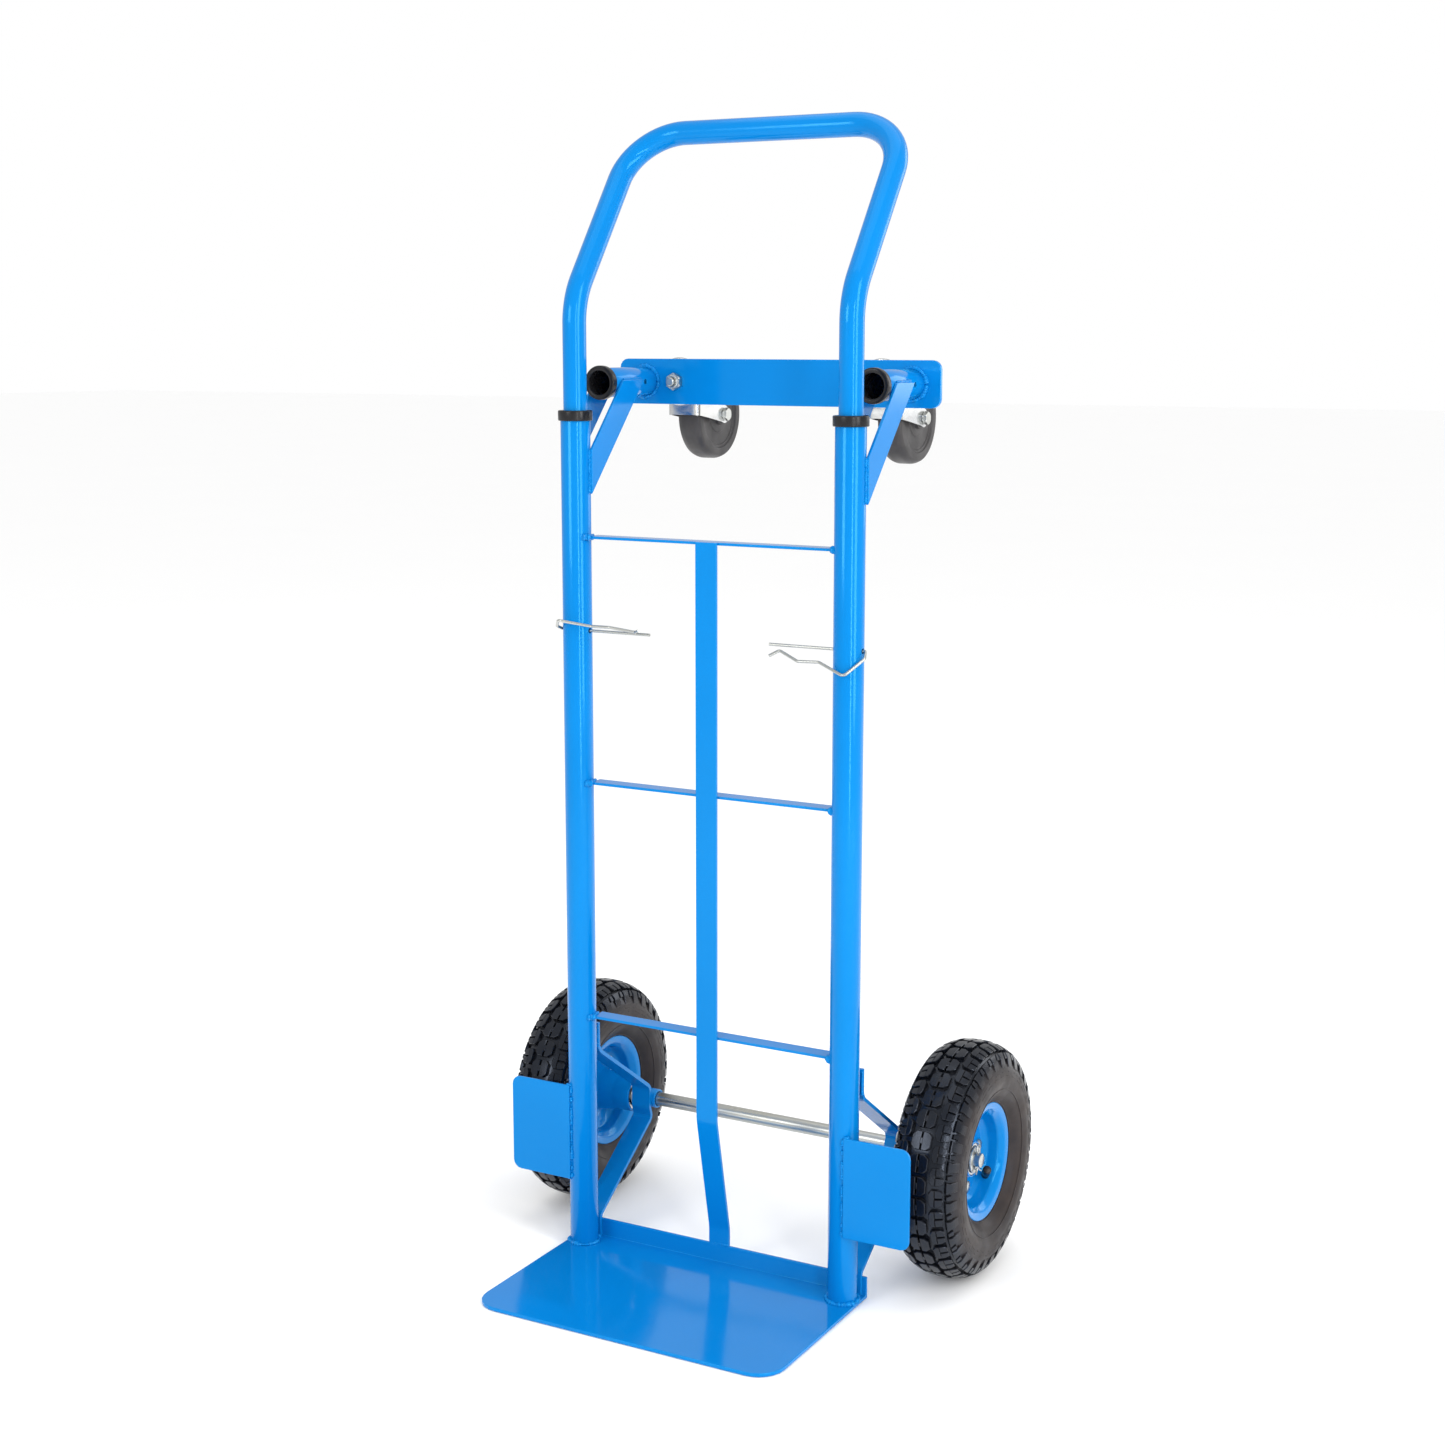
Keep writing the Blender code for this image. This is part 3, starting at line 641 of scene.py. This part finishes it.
def add_tread(bm):
    """The centre blocks with their slits, the side blocks, shoulder lugs and sidewall dashes."""
    half = 9.7
    for n in range(PITCHES):
        angle = 2 * math.pi * n / PITCHES
        between = angle + math.pi / PITCHES
        for sign in (-1, 1):
            flank = [(1.1, -half, half), (6.3, -half, half), (10.8, -half + 3.6, half - 3.6)]
            tread_block(bm, mirror_rows(flank, sign), angle, 4.6)
            side = [(14.2, -5.6, 5.6), (16.9, -9.4, 9.4), (20.6, -9.4, 9.4)]
            tread_block(bm, mirror_rows(side, sign), between, 4.6)
            for start, end in ((-9.4, -1.1), (1.1, 9.4)):
                cheek = [(20.8, start, end), (25.3, start, end), (29.8, start * 0.8, end * 0.8)]
                tread_block(bm, mirror_rows(cheek, sign), between, 4.5, 2)
            lug = [(33.4, -7.0, 7.0), (38.5, -5.4, 5.4), (44.0, -6.2, 6.2), (50.5, -6.2, 6.2)]
            tread_block(bm, mirror_rows(lug, sign), angle, 3.2)
            short = [(34.0, -2.5, 2.5), (41.0, -3.2, 3.2)]
            tread_block(bm, mirror_rows(short, sign), between, 3.4, 2)
            for w, reach in ((54.5, 7.8), (59.0, 7.0)):
                dash = [(w, -reach, reach), (w + 1.7, -reach, reach)]
                turn = 0.3 * (w > 57) * PITCH / WHEEL_R
                tread_block(bm, mirror_rows(dash, sign), angle + turn, 1.0, 4, 0.3)
            if n % 2:
                nub = [(70.0, -0.9, 0.9), (71.6, -0.9, 0.9)]
                tread_block(bm, mirror_rows(nub, sign), angle, 0.8, 2, 0.25)
        bridge = [(-1.2, -3.2, 3.2), (1.2, -3.2, 3.2)]
        tread_block(bm, bridge, angle, 4.5, 2, 0.4)


def add_tyre(side, sign):
    bm = bmesh.new()
    reaches = [2.0 * i for i in range(1, 55)]
    outside = [on_skin(-w, groove_depth(w)) for w in reversed(reaches)]
    outside.append((WHEEL_R - groove_depth(0), 0.0))
    outside += [on_skin(w, groove_depth(w)) for w in reaches]
    inside = [(54.8, 14.0), (61.0, 14.0), (80.0, 30.0), (92.0, 33.6), (112.0, 28.0), (123.0, 13.0)]
    loop = outside + inside + [(r, -x) for r, x in inside[::-1]]
    turned(bm, loop, 136)
    add_tread(bm)
    for w in (75.5, 93.0, 100.5):
        r, x = on_skin(w)
        for mirror in (-1, 1):
            ridge = []
            for i in range(10):
                a = 2 * math.pi * i / 10
                ridge.append((r + 0.75 * math.cos(a), mirror * (x + 0.75 * math.sin(a))))
            turned(bm, ridge, 136)
    piece(f"tyre_treaded_{side}", bm, RUBBER, f"wheel_{side}", [f"tyre_{side}"], wheel_place(sign),
          sharp=32)


def add_rim(side, sign):
    body = f"wheel_{side}"
    place = wheel_place(sign, VALVE_TURN[side] + math.pi / 4)
    bowl = [(65.6, 27.5, 1.0), (57.0, 25.8, 8), (51.0, 20.0, 6), (49.5, 8.0, 8), (43.5, 2.15, 6)]
    seat = [(45.0, 0.15, 6), (52.0, 7.4, 4), (53.2, 18.6, 4), (58.0, 23.8, 4), (65.0, 26.0, 0.6)]
    bore = BEARING_R + 0.4
    boss = [(29.0, 2.15, 2), (27.0, 4.0, 1.4), (24.0, 4.0, 1.4), (22.0, 2.4, 0.8), (19.8, 2.4, 0.5),
            (19.8, 12.5, 0.8), (bore, 12.5, 0.3), (bore, 2.15, 0), (13.0, 2.15, 0), (13.0, 0.15, 0)]
    disc = outline(bowl + boss + seat, 5)
    piece(f"rim_disc_outer_{side}", turned(bmesh.new(), disc, 112), PAINT, body,
          [f"rim_outer_{side}"], place)

    cone = [(31.0, 2.15, 3), (24.6, 16.0, 8), (20.5, 38.0, 10), (20.3, 60.4, 0.8),
            (bore, 60.4, 0.3), (bore, 49.0, 0), (13.5, 49.0, 0), (13.5, 47.0, 0), (17.5, 47.0, 0),
            (24.5, 0.15, 0)]
    web = outline(bowl + cone + seat, 5)

    def petals(r, z, angle):
        """Raises the web between the four bolts."""
        if not 31.5 < r < 50.5 or z < 1.0:
            return r, -z
        wave = (0.5 - 0.5 * math.cos(4 * angle)) ** 1.4
        across = math.sin(math.pi * (r - 31.5) / 19.0)
        return r, -(z + 6.5 * wave * across)

    piece(f"rim_disc_inner_{side}", turned(bmesh.new(), web, 112, True, petals), PAINT, body,
          [f"rim_inner_{side}"], place)

    heads = bmesh.new()
    nuts = bmesh.new()
    for n in range(4):
        angle = math.pi / 2 * n
        spot = Matrix.Translation(
            (BOLT_CIRCLE_R * math.cos(angle), BOLT_CIRCLE_R * math.sin(angle), 0))
        head = bmesh.new()
        profile = [(0, 2.2), (7.2, 2.2), (7.2, 3.2), (6.6, 4.6), (5.0, 5.5), (2.5, 5.9), (0, 6.0)]
        turned(head, profile, 32, ring=False)
        bmesh.ops.transform(head, matrix=spot, verts=head.verts)
        merge(head, heads)
        nut = bmesh.new()
        hexagon(nut, 13.0, 6.2, -8.6)
        shank = [(0, -14.5), (3.2, -14.5), (4.0, -13.7), (4.0, -2.2), (0, -2.2)]
        turned(nut, shank, 24, ring=False)
        turned(nut, [(0, -2.3), (8.4, -2.3), (8.4, -3.6), (0, -3.6)], 32, ring=False)
        bmesh.ops.transform(nut, matrix=spot, verts=nut.verts)
        merge(nut, nuts)
    piece(f"rim_bolt_heads_{side}", heads, ZINC, body, matrix=place, sharp=30)
    piece(f"rim_nuts_{side}", nuts, ZINC, body, matrix=place, sharp=25)


def add_valve(side, sign):
    """The butyl tube, hidden in the tyre, with the rubber stem and its cap."""
    bm = bmesh.new()
    ring = []
    for i in range(24):
        a = 2 * math.pi * i / 24
        ring.append((92 + 26 * math.cos(a), 27 * math.sin(a)))
    turned(bm, ring, 64)
    stem = bmesh.new()
    root, tip = Vector((72.0, 0.0, 2.0)), Vector((27.0, 0.0, 20.0))
    along = (tip - root).normalized()
    length = (tip - root).length
    drawn = 48.4
    body = [(0, -2), (4.9, -2), (4.9, 14), (6.4, 15.5), (6.4, 18.2), (5.2, 20), (4.1, 23),
            (3.9, 33), (3.4, 33.6), (3.4, 35), (4.7, 35.2), (4.9, 36), (4.9, 46), (4.3, 47.6),
            (2.6, drawn), (0, drawn)]

    def knurl(r, z, angle):
        return (r - 0.28 * (math.cos(18 * angle) > 0.2), z) if z > 35.5 and r > 4 else (r, z)

    turned(stem, [(r, z * length / drawn) for r, z in body], 72, ring=False, shape=knurl)
    lean = Vector((0, 0, 1)).rotation_difference(along).to_matrix().to_4x4()
    bmesh.ops.transform(stem, matrix=Matrix.Translation(root) @ lean, verts=stem.verts)
    merge(stem, bm)
    piece(f"valve_and_tube_{side}", bm, TUBE_RUBBER, f"wheel_{side}", [f"inner_tube_{side}"],
          wheel_place(sign, VALVE_TURN[side]), sharp=30)


def add_bearings(side, sign):
    for name, start in BEARING_STARTS:
        end = start + BEARING_W
        section = outline([
            (AXLE_R + 0.5, start, 0.5), (11.4, start, 0.4), (11.6, start + 0.9, 0.1),
            (14.4, start + 0.9, 0.1), (14.6, start, 0.4), (BEARING_R, start, 0.6),
            (BEARING_R, end, 0.6), (14.6, end, 0.4), (14.4, end - 0.9, 0.1), (11.6, end - 0.9, 0.1),
            (11.4, end, 0.4), (AXLE_R + 0.5, end, 0.5)], 2)
        piece(f"ball_bearing_{name}_{side}", turned(bmesh.new(), section, 64), STEEL,
              f"wheel_{side}", [f"wheel_bearing_{name}_{side}"], wheel_place(sign))


# ---------------------------------------------------------------- axle


def add_axle():
    half = [(0, -AXLE_END), (AXLE_R - 1.2, -AXLE_END), (AXLE_R - 0.3, -AXLE_END + 0.5),
            (AXLE_R, -AXLE_END + 1.6)]
    profile = half + [(r, -z) for r, z in half[::-1]]
    along_x = Matrix.Translation((0, AXLE_Y, AXLE_Z)) @ Matrix.Rotation(math.pi / 2, 4, "Y")
    piece("axle_bar", turned(bmesh.new(), profile, 64, ring=False), ZINC, "frame", ["axle"],
          along_x)
    washers = (("inner", INNER_WASHER_X, 14.0), ("outer", OUTER_WASHER_X, 15.0))
    for side, sign in SIDES:
        for name, start, radius in washers:
            end = start + WASHER_T
            section = outline([(AXLE_R + 0.5, start, 0.3), (radius, start, 0.7), (radius, end, 0.3),
                               (AXLE_R + 0.5, end, 0.3)], 3)
            section = [(r, sign * z) for r, z in section]
            piece(f"washer_{name}_{side}", turned(bmesh.new(), section, 64), ZINC, "frame",
                  [f"axle_washer_{name}_{side}"], along_x)
        add_split_pin(side, sign)
        sleeve = tube_profile(SLEEVE_R, AXLE_R + 0.6, -SLEEVE_HALF_L, SLEEVE_HALF_L)
        sleeve = [(r, z + sign * RAIL_X) for r, z in sleeve]
        piece(f"axle_tube_{side}", turned(bmesh.new(), sleeve, 64), PAINT, "frame",
              [f"axle_sleeve_{side}"], along_x)


def add_split_pin(side, sign):
    """A folded half-round wire: an eye on top of the axle and two legs that spread below it."""
    bm = bmesh.new()
    eye = 4.2
    for way in (-1, 1):
        path = [(0, way * 0.3, 9.0 + 2 * eye)]
        for step in range(1, 11):
            a = math.pi / 2 - way * step * math.pi / 10.6
            path.append((0, eye * math.cos(a), 9.0 + eye + eye * math.sin(a)))
        path += [(0, way * 0.75, 8.0), (0, way * 0.75, -8.4), (0, way * 2.6, -11.5),
                 (sign * 0.8, way * 7.0, -14.5)]
        swept(bm, evenly(path, 1.6), 0.8, sides=10)
    piece(f"split_pin_{side}", bm, ZINC, "frame", [f"cotter_pin_{side}"],
          Matrix.Translation((sign * SPLIT_PIN_X, AXLE_Y, AXLE_Z)), sharp=50)


# ---------------------------------------------------------------- casters


def fork_edges(z):
    """The fork's side view: its lowest and highest trail at a depth."""
    axle_y, axle_z, boss = CASTER_TRAIL, CASTER_DROP, 10.0
    shape = [(-24.0, 10.0), (37.0, 10.0), (40.0, 30.0)]
    shape += [(axle_y + boss * math.cos(a / 12), axle_z + boss * math.sin(a / 12))
              for a in range(-7, 36, 2)]
    shape += [(-20.0, 22.0)]
    spans = []
    for (y0, z0), (y1, z1) in zip(shape, shape[1:] + shape[:1]):
        if min(z0, z1) <= z <= max(z0, z1) and z0 != z1:
            spans.append(y0 + (y1 - y0) * (z - z0) / (z1 - z0))
    return min(spans), max(spans)


def add_caster(side, sign):
    back = CASTER_PLATE_Y + CASTER_PLATE_T
    along_y = Matrix.Rotation(-math.pi / 2, 4, "X")
    swivel = Matrix.Translation((sign * KINGPIN_X, back, SOCKET_Z)) @ along_y
    race = outline([
        (6.0, 0.3, 0), (27.5 - 2.0, 0.3, 0.6), (26.5, 2.5, 0.8), (26.5, 7.0, 0.8), (24.6, 7.4, 0.3),
        (24.6, 9.2, 0.4), (6.0, 9.2, 0)], 3)
    piece(f"swivel_race_{side}", turned(bmesh.new(), race, 72), STEEL, "frame",
          [f"caster_race_{side}"], swivel)

    pin = bmesh.new()
    hexagon(pin, 16.0, 6.2, 13.7)
    turned(pin, [(0, -19), (3.9, -19), (4.7, -18), (4.7, 14), (0, 14)], 32, ring=False)
    piece(f"kingpin_bolt_{side}", pin, ZINC, "frame", [f"kingpin_{side}"], swivel, sharp=25)
    nut = bmesh.new()
    hexagon(nut, 17.0, 6.6, -11.7, 5.0)
    nylon = outline([(5.0, -14.3, 0.2), (7.2, -14.3, 0.9), (8.1, -11.6, 0.3), (5.0, -11.6, 0)], 3)
    turned(nut, nylon, 48)
    piece(f"locknut_{side}", nut, ZINC, "frame", [f"kingpin_nut_{side}"], swivel, sharp=25)

    body = f"caster_{side}"
    fork = bmesh.new()
    half, middle = FORK_HALF_W - 1.5, 11.5
    tip = CASTER_DROP + 9.99
    path = rounded([(-half, tip), (-half, middle), (half, middle), (half, tip)], (0, 5, 5, 0), 8)
    path = evenly(path, 2.0)
    rows = []
    for p in path:
        low, high = fork_edges(max(p.y, 10.2))
        rows.append([fork.verts.new((p.x, low + (high - low) * k / 14, p.y)) for k in range(15)])
    for a, b in zip(rows, rows[1:]):
        for k in range(14):
            fork.faces.new((a[k], a[k + 1], b[k + 1], b[k]))
    made = piece(f"fork_{side}", fork, ZINC, body, [f"caster_fork_{side}"], swivel, look=STEEL)
    shell = made.modifiers.new("sheet", "SOLIDIFY")
    shell.thickness = 3.0 * MM
    shell.offset = 0.0
    round_edges(made, 0.7, 3)

    bolt = bmesh.new()
    hexagon(bolt, 13.0, 4.8, FORK_HALF_W + 0.3)
    hexagon(bolt, 13.0, 6.0, -FORK_HALF_W - 6.4)
    turned(bolt, [(0, -27), (3.1, -27), (3.8, -26.2), (3.8, 21), (0, 21)], 32, ring=False)
    hub = swivel @ Matrix.Translation((0, CASTER_TRAIL, CASTER_DROP))
    hub = hub @ Matrix.Rotation(math.pi / 2, 4, "Y")
    piece(f"fork_bolt_{side}", bolt, ZINC, body, [f"caster_bolt_{side}"], hub, sharp=25)

    section = [(50.0, 8.0, 12), (47.2, 14.0, 3), (38.4, 14.0, 0.7), (37.4, 12.4, 0.5),
               (35.2, 12.4, 0.5), (34.0, 11.2, 0.6), (21.0, 11.2, 0.6), (20.0, 12.4, 0.5),
               (12.4, 12.4, 1.0), (12.0, 16.5, 0.7), (4.6, 16.5, 0)]
    loop = [(r, -z, rounding) for r, z, rounding in section[::-1]] + section
    piece(f"caster_tyre_{side}", turned(bmesh.new(), outline(loop, 4), 96), CASTER_RUBBER,
          f"caster_wheel_{side}", [f"caster_wheel_{side}"], hub)


# ---------------------------------------------------------------- clips and welds


def add_clips():
    wavy = [(-91, 0), (19, 0), (21, 9.5), (5.5, 33), (-27.5, 18), (-51.5, 19), (-76.5, 7),
            (-86, 15)]
    for side, sign, swing in (("left", -1, 66.0), ("right", 1, 135.0)):
        path = [(sign * p.x, 0, p.y) for p in rounded(wavy, (0, 2.5, 5, 5, 6, 6, 4, 0), 10)]
        place = Matrix.Translation((sign * RAIL_X, 0, PIN_Z))
        place = place @ Matrix.Rotation(math.radians(swing), 4, "X")
        piece(f"hairpin_{side}", swept(bmesh.new(), evenly(path, 3), 1.6, sides=20), ZINC,
              f"clip_{side}", [f"hitch_clip_{side}"], place, sharp=50)


WELD_STEP = 0.7
RIPPLE = 3.0


def weld(bm, path, radius=1.8, rough=0.10):
    """A bead of overlapping ripples along a path."""
    path = evenly(path, WELD_STEP)
    sizes = []
    lump = 0.0
    for i in range(len(path)):
        ripple = abs(math.sin(math.pi * i * WELD_STEP / RIPPLE))
        lump = min(0.88 * lump + random.uniform(-rough, rough), 0.3)
        sizes.append(radius * max(0.74 + 0.28 * ripple + lump, 0.3))
    sizes[0] = sizes[-1] = radius * 0.4
    sizes[1] = sizes[-2] = radius * 0.8
    path = [p + Vector([random.uniform(-0.12, 0.12) for axis in range(3)]) for p in path]
    swept(bm, path, lambda i: sizes[i], sides=10)


def circle(centre, radius, axis, start=0.0, end=2 * math.pi, count=40):
    """An arc of points about X, Y or Z."""
    points = []
    for i in range(count + 1):
        a = start + (end - start) * i / count
        c, s = radius * math.cos(a), radius * math.sin(a)
        offset = {"x": (0, c, s), "y": (c, 0, s), "z": (c, s, 0)}[axis]
        points.append(Vector(centre) + Vector(offset))
    return points


def add_welds():
    feet, bars, guards = bmesh.new(), bmesh.new(), bmesh.new()
    gussets, sockets, brackets = bmesh.new(), bmesh.new(), bmesh.new()
    for side, sign in SIDES:
        x = sign * RAIL_X
        middle = sign * (RAIL_X + 1.5)
        weld(feet, circle((x, 0, PLATE_T + 1.1), TUBE_R + 0.7, "z"), 3.0, 0.18)
        for z in CROSSBAR_Z:
            near = x - sign * TUBE_R
            for edge in (z - 1.7, z + 1.7):
                weld(bars, [(near - sign * 0.1, -2, edge), (near + sign * 0.1, 5, edge),
                            (near + sign * 1.6, 11, edge)], 1.8)
            weld(bars, [(near + sign * 3.4, -10.0, z + 0.8), (near + sign * 1.0, -5.6, z + 0.6),
                        (near - sign * 2.6, -1.4, z)], 4.2, 0.05)
        for low, high in ((83, 88), (92, 97), (104, 121), (126, 139), (145, 166), (172, 178),
                          (182, 190)):
            weld(guards, [(sign * 168.9, -15.6, low), (sign * 168.9, -15.6, high)], 1.7, 0.16)
        weld(guards, [(sign * 170.2, -13.4, 82), (sign * 170.2, -13.4, 191)], 1.7, 0.02)
        weld(guards, [(sign * 169.4, -14.2, 82), (sign * 176, -13.6, 81.6)], 2.0)
        weld(guards, [(sign * 169.4, -14.2, 191), (sign * 176, -13.6, 191.4)], 2.0)
        for way in (-1, 1):
            near = x + way * (TUBE_R + 0.2)
            weld(gussets, [(near, 2.0, 853), (near, 2.0, 899.5)], 1.6, 0.02)
            for low, high in ((854, 862), (866, 872), (875, 886), (889, 899)):
                weld(gussets, [(near, 1.4, low), (near, 1.4, high)], 2.0)
            weld(gussets, [(near, 72, 972.5), (near, 109, 972.5)], 1.7)
            beside = middle + way * 11.4
            weld(brackets, [(beside, 16.6, 229), (beside, 16.6, 256)], 2.0)
        weld(sockets, circle((x, CASTER_PLATE_Y - 0.6, SOCKET_Z), TUBE_R + 0.9, "y"), 2.7, 0.14)
        foot = PLATE_T + 0.9
        weld(brackets, [(middle - 11, 20.6, foot), (middle + 11, 20.6, foot)], 1.8)
        for edge in (121.5, 138.5):
            weld(brackets, [(middle - 11, 132.2, edge), (middle + 11, 132.2, edge)], 1.5)
    weld(feet, [(-12, 23.2, 24.3), (12, 23.2, 24.3)], 1.9)
    for name, bm in (("rail_feet", feet), ("crossbars", bars), ("guards", guards),
                     ("gussets", gussets), ("sockets", sockets), ("brackets", brackets)):
        piece(f"welds_{name}", bm, PAINT, "frame", sharp=60)


# ---------------------------------------------------------------- CAD nodes that stay


def dress_cad_nodes():
    """Gives each CAD node that stays its finish, and rounds the edges of the flat steel."""
    slots = {row["node"]: row["material_slot"] for row in frame["record"]["subparts"]}
    for name, obj in frame["nodes"].items():
        obj.data.materials.clear()
        obj.data.materials.append(LOOKS[slots[name]])
    flat = ["toe_plate", "crossbar_lower", "crossbar_middle", "crossbar_upper", "center_strap",
            "caster_plate"]
    for side, _ in SIDES:
        flat += [f"wheel_guard_{side}", f"axle_bracket_{side}", f"gusset_inner_{side}",
                 f"gusset_outer_{side}"]
    for name in flat:
        obj = frame["nodes"][name]
        weld_points = obj.modifiers.new("merge", "WELD")
        weld_points.merge_threshold = 0.01 * MM
        round_edges(obj, 0.9, 3)


# ---------------------------------------------------------------- stage


def add_floor():
    bm = bmesh.new()
    bmesh.ops.create_grid(bm, x_segments=1, y_segments=1, size=30.0)
    mesh = bpy.data.meshes.new("floor")
    bm.to_mesh(mesh)
    bm.free()
    look = Look("pale_floor", Roughness=0.9, Specular_IOR_Level=0.1)
    base = look.mix(look.noise(1.5), (0.980, 0.980, 0.980), (0.992, 0.992, 0.990))
    look.drive("Base Color", base)
    mesh.materials.append(look.material)
    floor = bpy.data.objects.new("floor", mesh)
    bpy.context.scene.collection.objects.link(floor)
    floor.location.z = -0.0006


def add_light(name, place, target, size, watts):
    light = bpy.data.lights.new(name, "AREA")
    light.shape = "RECTANGLE"
    light.size, light.size_y = size
    light.energy = watts
    obj = bpy.data.objects.new(name, light)
    obj.location = place
    obj.rotation_euler = (Vector(target) - Vector(place)).to_track_quat("-Z", "Y").to_euler()
    bpy.context.scene.collection.objects.link(obj)


def add_stage():
    add_floor()
    middle = (0, 0, 0.6)
    add_light("key", (2.8, -0.9, 1.7), middle, (0.9, 2.6), 44)
    add_light("strip", (2.4, -2.4, 1.2), middle, (0.34, 2.4), 27)
    add_light("fill", (-0.95, -2.7, 1.65), (0, 0.1, 0.2), (1.0, 1.0), 20)
    add_light("top", (0, 0.2, 3.4), middle, (2.5, 2.5), 16)
    add_light("back", (1.6, 3.0, 1.8), middle, (1.2, 2.0), 16)
    world = bpy.data.worlds.new("studio")
    world.use_nodes = True
    tree = world.node_tree
    backdrop = tree.nodes["Background"]
    backdrop.inputs["Color"].default_value = (1.0, 1.0, 1.0, 1.0)
    path = tree.nodes.new("ShaderNodeLightPath")
    gloss = tree.nodes.new("ShaderNodeMapRange")
    gloss.inputs["To Min"].default_value = 1.0
    gloss.inputs["To Max"].default_value = 0.70
    tree.links.new(path.outputs["Is Glossy Ray"], gloss.inputs["Value"])
    tree.links.new(gloss.outputs["Result"], backdrop.inputs["Strength"])
    bpy.context.scene.world = world
    bpy.context.scene.view_settings.view_transform = "Standard"


def add_camera():
    camera = bpy.data.cameras.new("camera")
    camera.lens = 54.7
    camera.sensor_width = 36.0
    camera.clip_end = 100.0
    obj = bpy.data.objects.new("camera", camera)
    obj.location = (1.120, -1.992, 1.018)
    aim = Vector((0.0, 0.03, 0.612))
    obj.rotation_euler = (aim - obj.location).to_track_quat("-Z", "Y").to_euler()
    bpy.context.scene.collection.objects.link(obj)
    bpy.context.scene.camera = obj


add_rails()
add_handle()
add_sockets()
for side, sign in SIDES:
    add_tyre(side, sign)
    add_rim(side, sign)
    add_valve(side, sign)
    add_bearings(side, sign)
    add_caster(side, sign)
add_axle()
add_clips()
add_welds()
dress_cad_nodes()
add_stage()
add_camera()
